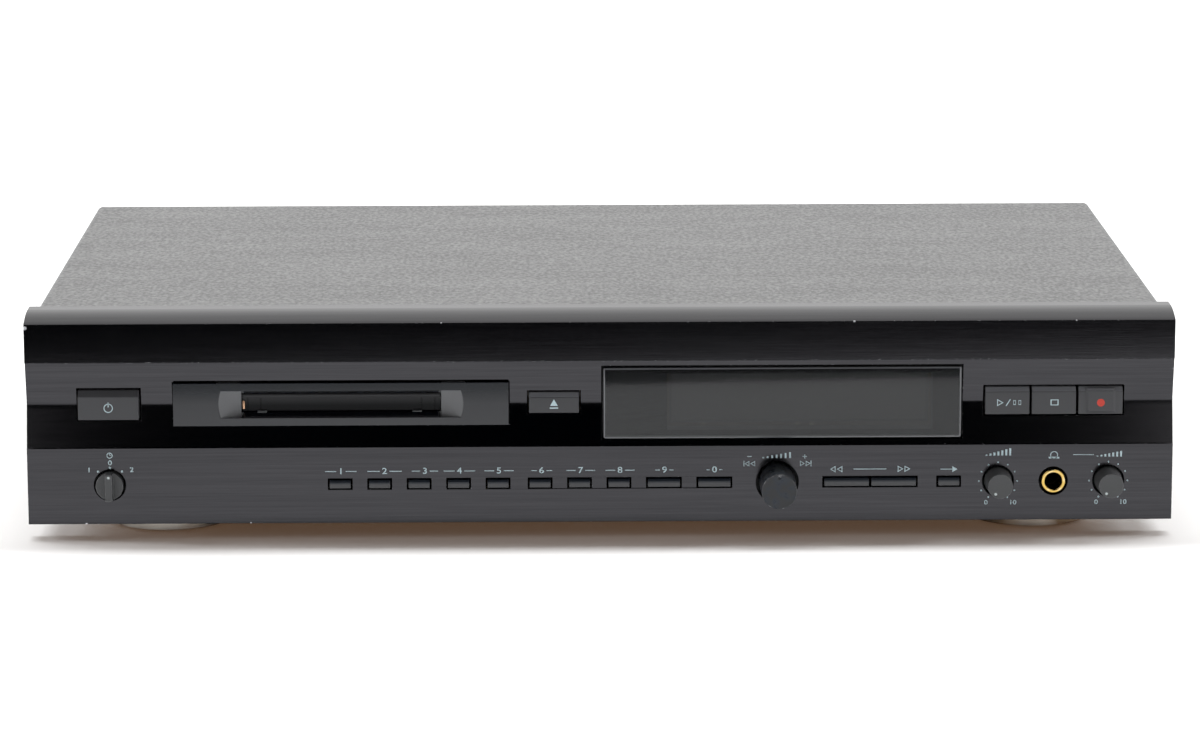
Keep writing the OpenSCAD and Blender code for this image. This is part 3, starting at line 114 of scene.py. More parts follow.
class Finish:
    """A procedural finish: a shader, and the nodes that vary it over the surface."""

    def __init__(self, name, shader="BsdfPrincipled", **plain):
        self.material = bpy.data.materials.new(name)
        self.material.use_nodes = True
        self.tree = self.material.node_tree
        self.tree.nodes.clear()
        self.place = self.add("TexCoord", out="Object")
        self.shader = self.tree.nodes.new("ShaderNode" + shader)
        end = self.tree.nodes.new("ShaderNodeOutputMaterial")
        self.tree.links.new(self.shader.outputs[0], end.inputs["Surface"])
        for socket, value in plain.items():
            self.shader.inputs[socket.replace("_", " ")].default_value = value

    def add(self, kind, settings=None, sockets=None, out=0):
        node = self.tree.nodes.new("ShaderNode" + kind)
        for key, value in (settings or {}).items():
            setattr(node, key, value)
        for key, value in (sockets or {}).items():
            self.feed(node.inputs[key], value)
        return Signal(self, node.outputs[out])

    def feed(self, socket, value):
        if isinstance(value, Signal):
            self.tree.links.new(value.socket, socket)
        else:
            socket.default_value = value

    def noise(self, size, detail=2.0, stretch=(1, 1, 1), rough=0.5):
        """Clouds from 0 to 1, as large as size in metres, drawn out along the axes."""
        scale = tuple(1 / (size * s) for s in stretch)
        spot = self.add("Mapping", sockets={"Vector": self.place, "Scale": scale})
        sockets = {"Vector": spot, "Scale": 1.0, "Detail": detail, "Roughness": rough}
        return self.add("TexNoise", sockets=sockets)

    def between(self, value, low, high, start=0.0, end=1.0):
        """A ramp from start, where value is low or less, to end, where it is high or more."""
        ramp = {"From Min": low, "From Max": high, "To Min": start, "To Max": end}
        return self.add("MapRange", {"clamp": True}, {"Value": value, **ramp})

    def mix(self, mask, plain, other):
        """The colour plain where mask is 0, and other where it is 1."""
        colours = [c if isinstance(c, Signal) else (*c, 1.0) for c in (plain, other)]
        return self.add("Mix", {"data_type": "RGBA"}, {0: mask, 6: colours[0], 7: colours[1]}, 2)

    def edges(self, width, low=0.02, high=0.25):
        """1 along the sharp edges, within width in metres of them, and 0 on the open surface."""
        rounded = self.add("Bevel", {"samples": 4}, {"Radius": width})
        flat = self.add("NewGeometry", out="Normal")
        same = self.add("VectorMath", {"operation": "DOT_PRODUCT"}, {0: rounded, 1: flat}, "Value")
        return self.between(1 - same, low, high)

    def along(self, axis):
        """The place along one axis, in metres."""
        return self.add("SeparateXYZ", sockets={0: self.place}, out=axis)

    def upturned(self):
        """1 where the surface faces straight up, 0 where it is upright, and less below."""
        facing = self.add("NewGeometry", out="Normal")
        return self.add("SeparateXYZ", sockets={0: facing}, out="Z")

    def near(self, spot, reach, soft):
        """1 at one spot, as far as the part soft of reach, fading to 0 at reach."""
        away = self.add("VectorMath", {"operation": "DISTANCE"}, {0: self.place, 1: spot}, "Value")
        return self.between(away, reach * soft, reach, 1.0, 0.0)

    def relief(self, height, depth, strength, rounded=0.0):
        """Height in parts of depth, in metres, as a bump, over edges rounded by that radius."""
        sockets = {"Height": height, "Distance": depth, "Strength": strength}
        if rounded:
            sockets["Normal"] = self.add("Bevel", {"samples": 4}, {"Radius": rounded})
        self.feed(self.shader.inputs["Normal"], self.add("Bump", None, sockets))

    def paint(self, **inputs):
        for socket, value in inputs.items():
            if isinstance(value, tuple):
                value = (*value, 1.0)
            self.feed(self.shader.inputs[socket.replace("_", " ")], value)


def sheet_of(name, shape, finish):
    """The finished mesh of a bmesh, as an object that sits at the origin."""
    mesh = bpy.data.meshes.new(name)
    shape.to_mesh(mesh)
    shape.free()
    mesh.materials.append(finish.material)
    made = bpy.data.objects.new(name, mesh)
    scene.collection.objects.link(made)
    return made


table_white = Finish("table_white", Roughness=0.7, Specular_IOR_Level=0.1, Emission_Strength=1.0)
# Far off, the table glows white to the camera. Near the deck the glow is faintly warm instead: a
# painted warm tint that shows in the deck's shadow.
near_deck_tint = table_white.near((0, 0, 0), 2.6, 0.35)
backdrop_white_and_painted_shadow_tint = table_white.mix(near_deck_tint, (1, 1, 1), (0.08, 0.045, 0.025))
seen = table_white.add("LightPath", out="Is Camera Ray")
table_white.paint(
    Base_Color=table_white.mix(table_white.noise(0.4), (0.88, 0.9, 0.91), (0.9, 0.92, 0.93)),
    Emission_Color=table_white.mix(seen, (0, 0, 0), backdrop_white_and_painted_shadow_tint),
)
shape = bmesh.new()
bmesh.ops.create_grid(shape, x_segments=1, y_segments=1, size=8)
table = sheet_of("table", shape, table_white)

# The dark of the room: it starts on the floor in front of the deck, nearer on the
# left, and bends up to a little past overhead. Only mirrored rays see it.
room_dark = Finish("room_dark", "Emission", Color=(0.001, 0.003, 0.007, 1.0), Strength=1.0)
half_room, near_room, slant = 0.385, -0.39, 0.11
reach, bend_middle, over_table = 1.25, -0.127, 0.0006


def corners(result):
    """The vertices among what a bmesh operator has made."""
    return [v for v in result["geom"] if isinstance(v, bmesh.types.BMVert)]


shape = bmesh.new()
rim = [(near_room, over_table), (-reach, over_table)]
for step in range(6, 97, 6):
    rim.append((bend_middle - reach * cos(radians(step)), reach * sin(radians(step))))
row = [shape.verts.new((-half_room, y, z)) for y, z in rim]
line = [shape.edges.new(pair) for pair in zip(row, row[1:])]
swept = corners(bmesh.ops.extrude_edge_only(shape, edges=line))
bmesh.ops.translate(shape, vec=(2 * half_room, 0, 0), verts=swept)
start = [v for v in swept if v.co.y == row[0].co.y and v.co.z == row[0].co.z]
bmesh.ops.translate(shape, vec=(0, -slant, 0), verts=start)
room = sheet_of("room", shape, room_dark)
for sight in ("camera", "diffuse", "shadow", "transmission"):
    setattr(room, "visible_" + sight, False)

# The dome lights evenly and faintly, and shows white to the camera and in mirrored
# and transmitted rays. Most of the light comes from a wide soft lamp high above and
# behind, and a little from two small ones at the sides.
dome = bpy.data.worlds.new("dome")
dome.use_nodes = True
sky = dome.node_tree
ray = sky.nodes.new("ShaderNodeLightPath")
level = 0.18
shown = None
for kind in ("Is Camera Ray", "Is Glossy Ray", "Is Transmission Ray"):
    most = sky.nodes.new("ShaderNodeMath")
    most.operation = "MAXIMUM"
    most.inputs[1].default_value = level
    sky.links.new(ray.outputs[kind], most.inputs[0])
    if shown:
        sky.links.new(shown.outputs[0], most.inputs[1])
    shown = most
sky.nodes["Background"].inputs["Color"].default_value = (1, 1, 1, 1)
sky.links.new(shown.outputs[0], sky.nodes["Background"].inputs["Strength"])
aim, away = radians(75), 5
for name, wide, high, energy, spot in (
    ("back_lamp", 9.0, 1.2, 420, (0, away * cos(aim), away * sin(aim))),
    ("left_lamp", 0.3, 0.9, 24, (-2.2, 0.13, 0.95)),
    ("right_lamp", 0.3, 0.9, 24, (2.2, 0.13, 0.95)),
):
    bulb = bpy.data.lights.new(name, "AREA")
    bulb.shape, bulb.size, bulb.size_y, bulb.energy = "RECTANGLE", wide, high, energy
    lamp = bpy.data.objects.new(name, bulb)
    turn = Vector(spot).to_track_quat("Z", "Y").to_matrix().to_4x4()
    lamp.matrix_world = Matrix.Translation(spot) @ turn
    lamp.visible_glossy = False
    scene.collection.objects.link(lamp)
scene.world = dome


# --------------------------------------------- the chassis and the bent sheets
# The case's floor and the mechanism's frame are pressed from zinc-plated steel
# sheet, 1.2 mm thick, with folded flanges. The spangle of the zinc shows.
def dress(finish, *nodes):
    """Gives the nodes of the CAD their finish; their shapes stay as they are."""
    for name in nodes:
        faces = frame["nodes"][name].data
        faces.materials.clear()
        faces.materials.append(finish.material)


def zinc_sheet(name, light, grain):
    finish = Finish(name, Metallic=1.0)
    spot = finish.add("Mapping", sockets={"Vector": finish.place, "Scale": (1 / grain,) * 3})
    spangle = finish.add("TexVoronoi", {"feature": "F1"}, {"Vector": spot, "Scale": 1.0}, "Color")
    shade = finish.add("SeparateXYZ", sockets={0: spangle})
    smear = finish.noise(0.03, 4)
    cut = finish.edges(0.0005)
    finish.paint(
        Base_Color=finish.mix(shade * 0.5 + cut * 0.4, tuple(0.8 * c for c in light), light),
        Roughness=0.3 + shade * 0.12 + smear * 0.14,
    )
    finish.relief(finish.noise(0.0008, 2) * 0.4 + shade * 0.2, 0.00002, 0.6, 0.0003)
    return finish


dress(zinc_sheet("chassis_steel", (0.62, 0.63, 0.63), 0.006), "chassis")
dress(zinc_sheet("mech_steel", (0.58, 0.59, 0.6), 0.004), "mech_base")
dress(zinc_sheet("holder_steel", (0.66, 0.66, 0.65), 0.003), "cartridge_holder")
dress(zinc_sheet("arm_steel", (0.64, 0.65, 0.66), 0.003), "head_arm")

# ---------------------------------------------------------- the feet and pads
# Four hollow feet, pressed from satin champagne-coloured metal, each held by a
# screw through the chassis, with a black rubber pad let into its underside.
foot_metal = Finish("foot_metal", Metallic=1.0)
turned = foot_metal.noise(0.0003, 2, (60, 60, 1))
# The base colour is laid in tall light and dark patches: painted reflections of the bright and the
# shaded surroundings.
painted_reflection_patches = foot_metal.between(foot_metal.noise(0.02, 1, (1, 1, 3)), 0.42, 0.56)
foot_metal.paint(
    Base_Color=foot_metal.mix(painted_reflection_patches, (0.46, 0.3, 0.19), (0.97, 0.86, 0.76)),
    Roughness=0.24 + turned * 0.16,
)
foot_metal.relief(turned, 0.00003, 0.5, 0.0005)
dress(foot_metal, "feet")


def moulded(
    name, colour, gloss, grain=0.0003, depth=0.00002, worn=None, edge=0.0002, **plain
):
    """Moulded plastic or rubber: a fine grain, faint clouds, and edges worn lighter."""
    finish = Finish(name, **plain)
    cloud, fine = finish.noise(0.012, 3), finish.noise(grain, 3)
    lighter = worn or tuple(min(1.0, 1.7 * c + 0.012) for c in colour)
    scuffed = finish.edges(edge) * finish.between(finish.noise(0.0012, 2), 0.35, 0.7, 0.25, 1.0)
    tint = finish.mix(cloud * 0.5 + fine * 0.25, colour, tuple(1.25 * c for c in colour))
    finish.tint = finish.mix(scuffed * 0.6, tint, lighter)
    finish.gloss = gloss - 0.08 + cloud * 0.08 + fine * 0.1
    finish.paint(Base_Color=finish.tint, Roughness=finish.gloss)
    finish.relief(fine, depth, 0.6, edge)
    return finish


dress(moulded("pad_rubber", (0.012, 0.012, 0.013), 0.7, 0.0005), "foot_pads")


# ------------------------------------------------- the main board and its parts
# A green glass-fibre board on the chassis carries the chips and the supply's
# capacitors. Under the lacquer run the copper tracks, lighter than the rest.
def circuit(name, base, track, pitch):
    finish = Finish(name, Coat_Weight=0.3)
    bent = finish.noise(0.03, 1)
    runs = []
    for axis in ("X", "Y"):
        step = (finish.along(axis) + bent * 0.012) * (1 / pitch)
        runs.append(finish.between(step.maths("PINGPONG", 1.0), 0.62, 0.7))
    pick = finish.between(finish.noise(0.02, 0), 0.47, 0.53)
    copper = runs[0] * pick + runs[1] * (1 - pick)
    copper = copper * finish.between(finish.noise(0.014, 1), 0.42, 0.5)
    finish.paint(Base_Color=finish.mix(copper, base, track), Roughness=0.42 - copper * 0.1)
    finish.relief(copper * 0.6 + finish.noise(0.0007, 1) * 0.3, 0.00004, 0.6)
    return finish


dress(circuit("board_green", (0.018, 0.1, 0.045), (0.05, 0.24, 0.1), 0.0024), "main_board")
dress(moulded("chip_resin", (0.018, 0.018, 0.019), 0.55, 0.0002), "chips")
capacitor_sleeve = moulded("capacitor_sleeve", (0.014, 0.02, 0.05), 0.3)
can_top = capacitor_sleeve.between(capacitor_sleeve.upturned(), 0.9, 0.95)
capacitor_sleeve.paint(
    Base_Color=capacitor_sleeve.mix(can_top, capacitor_sleeve.tint, (0.72, 0.73, 0.74)),
    Metallic=can_top,
)
dress(capacitor_sleeve, "capacitors")

# ------------------------------------------------------------- the transformer
# A stack of thin iron plates around a coil that is wrapped in yellow tape. Its
# plates show as fine dark lines on the outside.
core_iron = Finish("core_iron", Metallic=0.8)
plate, tape = 0.0005, 1 / 180
plates = (core_iron.along("Y") * (1 / plate)).maths("PINGPONG", 1.0)
rust = core_iron.between(core_iron.noise(0.006, 4), 0.55, 0.75)
core_iron.paint(
    Base_Color=core_iron.mix(rust * 0.5, (0.16, 0.165, 0.17), (0.2, 0.12, 0.07)),
    Roughness=0.45 + rust * 0.25,
)
core_iron.relief(plates + core_iron.noise(0.002, 2) * 0.4, 0.00008, 0.6)
dress(core_iron, "transformer_core")
coil_tape = Finish("coil_tape", Coat_Weight=0.2)
lap = (coil_tape.along("Z") * (1 / tape)).maths("FRACT", 0.0)
wrinkle = coil_tape.noise(0.003, 3, (4, 4, 1))
coil_tape.paint(
    Base_Color=coil_tape.mix(lap * 0.6 + wrinkle * 0.3, (0.58, 0.36, 0.05), (0.7, 0.5, 0.11)),
    Roughness=0.34 + wrinkle * 0.2,
)
coil_tape.relief(lap + wrinkle * 0.5, 0.0001, 0.7)
dress(coil_tape, "transformer_coil")

# ----------------------------------------------------------- the disc mechanism
# Under the holder: a turntable on its motor, a pickup on two ground rods, moved
# by a brass screw, and the arm that lowers the recording head.
def turned_metal(name, dark, light, gloss, lines=(1, 1, 1)):
    finish = Finish(name, Metallic=1.0)
    groove, cloud = finish.noise(0.0002, 2, lines), finish.noise(0.008, 3)
    finish.paint(
        Base_Color=finish.mix(cloud, dark, light),
        Roughness=gloss + groove * 0.12 + cloud * 0.06,
    )
    finish.relief(groove, 0.00002, 0.5, 0.0002)
    return finish


dress(moulded("turntable_plastic", (0.62, 0.62, 0.6), 0.4), "turntable")
dress(turned_metal("motor_steel", (0.4, 0.4, 0.41), (0.55, 0.55, 0.56), 0.3), "spindle_motor")
dress(moulded("sled_plastic", (0.03, 0.03, 0.032), 0.5), "pickup_sled")
dress(
    turned_metal("rod_steel", (0.66, 0.67, 0.69), (0.76, 0.77, 0.78), 0.12, (1, 80, 1)),
    "guide_rods",
)
dress(turned_metal("lead_brass", (0.62, 0.44, 0.18), (0.74, 0.56, 0.26), 0.22), "lead_screw")

# ----------------------------------------------- the rear panel and its sockets
# A sheet of black-painted steel, screwed to the chassis, with the sockets for
# plugs: nickel-plated shells around black cores, two rows of them, three square
# optical ports with their shutters, and the inlet for a mains lead.
rear_paint = moulded("rear_paint", (0.022, 0.022, 0.024), 0.5, 0.0005, 0.00003, (0.2, 0.2, 0.21))
dress(rear_paint, "rear_panel")
jack_nickel = turned_metal("jack_nickel", (0.62, 0.6, 0.55), (0.74, 0.72, 0.67), 0.16)
dress(jack_nickel, "line_jacks")
dress(
    moulded("socket_plastic", (0.016, 0.016, 0.017), 0.38),
    "jack_blocks", "optical_ports", "mains_inlet", "phones_socket",
)

# ------------------------------------- the boards and controls behind the front
# A brown paper board carries a switch behind each key, the controls that the
# knobs' shafts turn in, and the fluorescent display tube.
board_brown = circuit("board_brown", (0.26, 0.15, 0.055), (0.42, 0.29, 0.13), 0.003)
dress(board_brown, "front_board")
dress(moulded("switch_plastic", (0.3, 0.3, 0.28), 0.5), "key_switches")
dress(turned_metal("control_plastic", (0.24, 0.3, 0.34), (0.3, 0.36, 0.4), 0.35), "dial_controls")
dress(
    turned_metal("shaft_steel", (0.56, 0.56, 0.57), (0.68, 0.68, 0.69), 0.2, (1, 60, 1)),
    "timer_shaft", "jog_shaft", "rec_level_shaft", "phones_level_shaft",
)
tube_glass = Finish("tube_glass", Coat_Weight=1.0, Coat_Roughness=0.03)
wire = 0.0004
mesh_line = (tube_glass.along("Z") * (1 / wire)).maths("PINGPONG", 1.0)
milky = mesh_line * 0.6 + tube_glass.noise(0.02, 2) * 0.4
tube_glass.paint(
    Base_Color=tube_glass.mix(milky, (0.16, 0.15, 0.145), (0.3, 0.275, 0.265)),
    Roughness=0.3 + mesh_line * 0.1,
)
tube_glass.relief(mesh_line, 0.00002, 0.3)
dress(tube_glass, "display_tube")

# ------------------------------------------------ the front panel and its frame
# The panel is an aluminium extrusion with a groove along its middle and a rolled
# lip on top, brushed lengthwise and anodised black. Where its edges are knocked
# the bright metal shows. A frame of black plastic behind it guides the keys.
dress(moulded("frame_plastic", (0.014, 0.014, 0.015), 0.5), "front_frame")
panel_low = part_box("front_panel")[0]


def at(x, y, z):
    """A place in mm: from the deck's middle, back from the panel's face, up from its edge."""
    return Vector((x / 1000, panel_low.y + y / 1000, panel_low.z + z / 1000))


front_metal = Finish("front_metal", Metallic=1.0)
hair = front_metal.noise(0.00011, 2, (150, 1, 1))
streak = front_metal.noise(0.0007, 3, (110, 1, 1))
cloud = front_metal.noise(0.05, 3, (2, 1, 1))
knocks = [
    (-195.5, 0.5, 0, 0.5), (-133, 0.5, 0, 0.4), (-217, 0, 76, 0.8), (-217.4, 1, 70, 0.5),
    (217.2, 1, 58, 0.9), (217.4, 1, 22, 0.5), (-60, 0, 77.5, 0.4), (96, 0, 77.4, 0.5),
    (180, 0, 77.4, 0.35),
]
chipped = front_metal.between(front_metal.noise(0.0011, 3), 0.6, 0.66)
bare = front_metal.edges(0.00035, 0.05, 0.3) * chipped
for x, y, z, size in knocks:
    bare = bare.maths("MAXIMUM", front_metal.near(at(x, y, z), size / 1000, 0.8))
# The top of the rolled lip gets a lighter base colour than the rest of the black: a painted
# highlight where the lip turns up to the sky. It is a little rougher there too.
lip_starts, lip_whole = at(0, 0, 77.2).z, at(0, 0, 78.2).z
lip_painted_sheen = front_metal.between(front_metal.along("Z"), lip_starts, lip_whole)
anodised_black_and_lip_sheen = front_metal.mix(
    front_metal.between(hair * 0.5 + streak * 0.5, 0.3, 0.7),
    front_metal.mix(lip_painted_sheen, (0.039, 0.038, 0.041), (0.07, 0.07, 0.072)),
    front_metal.mix(lip_painted_sheen, (0.06, 0.058, 0.062), (0.105, 0.103, 0.106)),
)
front_metal.paint(
    Base_Color=front_metal.mix(bare, anodised_black_and_lip_sheen, (0.72, 0.72, 0.74)),
    Roughness=0.07 + hair * 0.08 + cloud * 0.04 + lip_painted_sheen * 0.06 + bare * 0.2,
)
front_metal.relief(hair * 0.6 + streak * 0.4, 0.000012, 0.5, 0.00022)
dress(front_metal, "front_panel")


# --------------------------------------------------- the slot's bezel and door
# The bezel is glossy black plastic pushed into the panel from the front. Two
# scooped steps beside the mouth leave room for finger and thumb, and a door on
# a pin hangs behind it and swings in when a cartridge is pushed.
def joined(node):
    """A copy of a CAD node's mesh with its loose triangles joined into whole faces."""
    shape = bmesh.new()
    shape.from_mesh(frame["nodes"][node].data)
    bmesh.ops.remove_doubles(shape, verts=shape.verts, dist=1e-6)
    bmesh.ops.dissolve_limit(shape, angle_limit=radians(1), verts=shape.verts, edges=shape.edges)
    return shape


def face_outwards(shape):
    """Turns each closed part of the mesh the right way round, by the sign of its volume."""
    bmesh.ops.recalc_face_normals(shape, faces=shape.faces)
    left = set(shape.faces)
    while left:
        part, waiting = [], [left.pop()]
        while waiting:
            part.append(waiting.pop())
            for other in [f for e in part[-1].edges for f in e.link_faces]:
                if other in left:
                    left.remove(other)
                    waiting.append(other)
        start = part[0].verts[0].co.copy()
        if sum((f.verts[0].co - start).dot(f.normal) * f.calc_area() for f in part) < 0:
            bmesh.ops.reverse_faces(shape, faces=part)


def piece(name, shape, finish, body, *nodes):
    """Puts a new piece on its body, in place of the CAD nodes that are named."""
    face_outwards(shape)
    made = sheet_of(name, shape, finish)
    made.data.shade_smooth()
    made.data.set_sharp_from_angle(angle=radians(32))
    flat = made.modifiers.new("even_faces", "WEIGHTED_NORMAL")
    flat.keep_sharp = True
    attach(made, body)
    if nodes:
        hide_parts(*nodes)


def soften(node, name, finish, width, steps=2):
    """The same solid with its sharp edges rounded by width, in mm, as moulding leaves them."""
    shape, least = joined(node), radians(24)
    walls = [e for e in shape.edges if len(e.link_faces) == 2]
    sharp = [e for e in walls if e.calc_face_angle(0) > least]
    bmesh.ops.bevel(
        shape, geom=sharp, offset=width / 1000, offset_type="OFFSET", affect="EDGES",
        segments=steps, profile=0.5, material=-1, clamp_overlap=True,
    )
    bmesh.ops.remove_doubles(shape, verts=shape.verts, dist=2e-6)
    piece(name, shape, finish, frame["nodes"][node]["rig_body"], node)


bezel_low, bezel_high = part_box("slot_bezel")
bezel_middle = (bezel_low.x + bezel_high.x) / 2
step_inner, step_outer = 0.038, 0.047
bezel_plastic = moulded(
    "bezel_plastic", (0.03, 0.03, 0.034), 0.16, 0.0006, 0.000006, (0.2, 0.21, 0.23), 0.0003
)
aside = (bezel_plastic.along("X") - bezel_middle).maths("ABSOLUTE", 0.0)
depth = bezel_plastic.along("Y") - bezel_low.y
# The two scooped steps get a much lighter base colour: a painted highlight for the side light they
# catch. They are also rougher.
scoops_painted_lit = bezel_plastic.between(depth, 0.00005, 0.0002)
scoops_painted_lit = scoops_painted_lit * bezel_plastic.between(aside, step_inner - 0.0001, step_inner)
scoops_painted_lit = scoops_painted_lit * bezel_plastic.between(aside, step_outer, step_outer + 0.0002, 1, 0)
# The bezel's upper part is painted darker and bluer, a painted reflection of the dark room. Deep in
# the mouth it is painted nearly black, as painted shade.
upper = bezel_plastic.between(bezel_plastic.along("Z"), at(0, 0, 46).z, at(0, 0, 52).z)
painted_shade_inside = bezel_plastic.between(depth, 0.0008, 0.0015)
smooth_painted_dark = bezel_plastic.mix(upper, bezel_plastic.tint, (0.004, 0.006, 0.01))
smooth_painted_dark = bezel_plastic.mix(painted_shade_inside, smooth_painted_dark, (0.004, 0.005, 0.008))
bezel_plastic.paint(
    Base_Color=bezel_plastic.mix(scoops_painted_lit, smooth_painted_dark, (0.15, 0.15, 0.156)),
    Roughness=bezel_plastic.gloss + scoops_painted_lit * 0.3,
)
soften("slot_bezel", "slot_surround", bezel_plastic, 0.18)
door_plastic = moulded("door_plastic", (0.02, 0.02, 0.021), 0.4, 0.0004, Specular_IOR_Level=0.2)
# The door's colour is painted nearly black at its foot and lighter towards its top: painted shade
# in the mouth.
painted_shade_fading_up = door_plastic.between(door_plastic.along("Z"), at(0, 0, 44.6).z, at(0, 0, 48.4).z)
door_plastic.paint(Base_Color=door_plastic.mix(painted_shade_fading_up, (0.003, 0.003, 0.004), (0.045, 0.044, 0.046)))
dress(door_plastic, "slot_door")


def around(points, kind):
    """The edges or faces that the points are on, each once, in the same order each run."""
    return list(dict.fromkeys(found for v in points for found in getattr(v, "link_" + kind)))


def leaf(shape, x, wide, spots, lift):
    """A strip of sheet, bent through spots of depth and height, and as thick as lift, all in mm."""
    made = bmesh.ops.create_grid(shape, x_segments=1, y_segments=len(spots) - 1, size=0.5)["verts"]
    for count, point in enumerate(sorted(made, key=lambda v: round(v.co.y, 3))):
        point.co = at(x + wide * point.co.x, *spots[count // 2])
    top = corners(bmesh.ops.extrude_face_region(shape, geom=around(made, "faces")))
    bmesh.ops.translate(shape, vec=Vector(lift) / 1000, verts=top)


# Two springs of bright steel press a cartridge up from the mouth's floor, and a
# copper contact stands at its left end.
spring_steel = turned_metal("spring_steel", (0.6, 0.62, 0.62), (0.8, 0.82, 0.82), 0.2)
spring_bend = ((4.4, 42.3), (4.9, 42.5), (5.3, 42.75), (5.7, 42.6))
shape = bmesh.new()
for x in (-128.3, -69.5):
    leaf(shape, x, 3.6, spring_bend, (0, 0, 0.12))
piece("slot_springs", shape, spring_steel, "deck")
contact_copper = turned_metal("contact_copper", (0.6, 0.34, 0.2), (0.75, 0.46, 0.3), 0.25)
contact_bend = ((5.5, 43.4), (5.3, 45.0), (5.5, 46.6))
shape = bmesh.new()
leaf(shape, -135.3, 0.7, contact_bend, (0, 0.15, 0))
piece("slot_contact", shape, contact_copper, "deck")

# ---------------------------------------------------------- the display window
# A plate of smoked acrylic, polished, with a bevel all round that catches the
# light. The tube behind it shows through faintly.
window_plastic = Finish("window_plastic", Coat_Weight=0.5, Coat_Roughness=0.04)
dust = window_plastic.between(window_plastic.noise(0.0006, 1), 0.72, 0.78)
wiped = window_plastic.noise(0.004, 3, (6, 1, 1))
glass_low, glass_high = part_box("display_window")
middle, half = (glass_low + glass_high) / 2, (glass_high - glass_low) / 2
inward = [
    half[n] - (window_plastic.along("XYZ"[n]) - middle[n]).maths("ABSOLUTE", 0.0) for n in (0, 2)
]
inward = inward[0].maths("MINIMUM", inward[1])
# A pale, opaque band along the bevel all round is a painted highlight; the faint pale specks are
# dust.
painted_edge_highlight = window_plastic.between(inward, 0.0004, 0.0005)
painted_edge_highlight = painted_edge_highlight * window_plastic.between(inward, 0.0009, 0.0011, 1, 0)
dust_and_painted_highlight = (dust * 0.3).maths("MAXIMUM", painted_edge_highlight * 0.4)
window_plastic.paint(
    Base_Color=window_plastic.mix(dust_and_painted_highlight, (0.017, 0.017, 0.018), (0.3, 0.3, 0.32)),
    Roughness=0.05 + wiped * 0.05 + dust * 0.2,
    Alpha=0.6 + painted_edge_highlight * 0.4,
)
window_plastic.relief(wiped, 0.000006, 0.3)
soften("display_window", "display_glass", window_plastic, 0.55, 1)

# --------------------------------------------------------------------- the keys
# Eighteen caps of dark grey moulded plastic with a fine grain. The large ones
# slope back along the top edge, and the recording key has a raised block.
def key_finish(name, colour, gloss, edge):
    return moulded(name, colour, gloss, 0.00025, 0.000012, (0.3, 0.3, 0.31), edge)


key_plastic = key_finish("key_plastic", (0.052, 0.051, 0.055), 0.42, 0.0003)
# On the deck keys, right of the power key, the upward-facing slopes are painted lighter: a painted
# highlight from the sky above.
painted_lit_slope = key_plastic.between(key_plastic.upturned(), 0.5, 0.6)
painted_lit_slope = painted_lit_slope * key_plastic.between(key_plastic.along("X"), -0.1, -0.09)
key_plastic.paint(Base_Color=key_plastic.mix(painted_lit_slope, key_plastic.tint, (0.2, 0.2, 0.215)))
small_key_plastic = key_finish("small_key_plastic", (0.066, 0.065, 0.069), 0.34, 0.00022)
# The small keys' upper parts are painted dark and bluish: a painted reflection of the dim room
# above.
painted_dark_reflection_top = small_key_plastic.between(small_key_plastic.along("Z"), at(0, 0, 15).z, at(0, 0, 15.5).z)
small_key_plastic.paint(
    Base_Color=small_key_plastic.mix(painted_dark_reflection_top, small_key_plastic.tint, (0.012, 0.016, 0.024))
)
large_keys = ["power", "eject", "play", "stop", "rec"]
small_keys = [
    "random", "repeat", "ab_repeat", "display", "scroll", "title", "character",
    "delete", "edit", "set", "search_back", "search_forward", "input",
]
for key in large_keys:
    soften(key + "_button", key + "_cap", key_plastic, 0.3)
for key in small_keys:
    soften(key + "_button", key + "_cap", small_key_plastic, 0.18)

# -------------------------------------------------------------------- the knobs
# Three turned cones and one flat knob with a grip across it, moulded in matt
# grey. A dimple near the rim holds a dot of white paint as the pointer.
knob_plastic = moulded("knob_plastic", (0.07, 0.07, 0.072), 0.5, worn=(0.6, 0.6, 0.62), edge=0.0005)
jog_plastic = moulded(
    "jog_plastic", (0.034, 0.034, 0.036), 0.34,
    worn=(0.4, 0.4, 0.43), edge=0.0005, Specular_IOR_Level=0.3,
)
greasy = jog_plastic.between(jog_plastic.noise(0.003, 3), 0.44, 0.6)
greased = jog_plastic.mix(greasy, jog_plastic.tint, (0.03, 0.036, 0.048))
nicked = jog_plastic.edges(0.0005, 0.03, 0.15)
nicked = nicked * jog_plastic.between(jog_plastic.noise(0.0014, 3), 0.56, 0.6)
jog_plastic.paint(
    Base_Color=jog_plastic.mix(nicked, greased, (0.6, 0.6, 0.62)),
    Roughness=jog_plastic.gloss - greasy * 0.08,
)
for knob in ("timer", "jog", "rec_level", "phones_level"):
    plastic = jog_plastic if knob == "jog" else knob_plastic
    soften(knob + "_knob", knob + "_grip", plastic, 0.28, 3)

# ----------------------------------------------------------- the phones socket
# A gold-plated ring, turned with a rounded lip, screwed on the socket's neck.
gold_plate = Finish("gold_plate", Metallic=1.0)
turned = gold_plate.noise(0.0002, 1)
rubbed = gold_plate.between(gold_plate.noise(0.002, 2), 0.45, 0.7)
gold_plate.paint(
    Base_Color=gold_plate.mix(rubbed, (0.66, 0.44, 0.12), (0.88, 0.7, 0.38)),
    Roughness=0.12 + rubbed * 0.12 + turned * 0.05,
)
gold_plate.relief(turned, 0.00001, 0.4)
soften("phones_ring", "phones_collar", gold_plate, 0.45, 4)


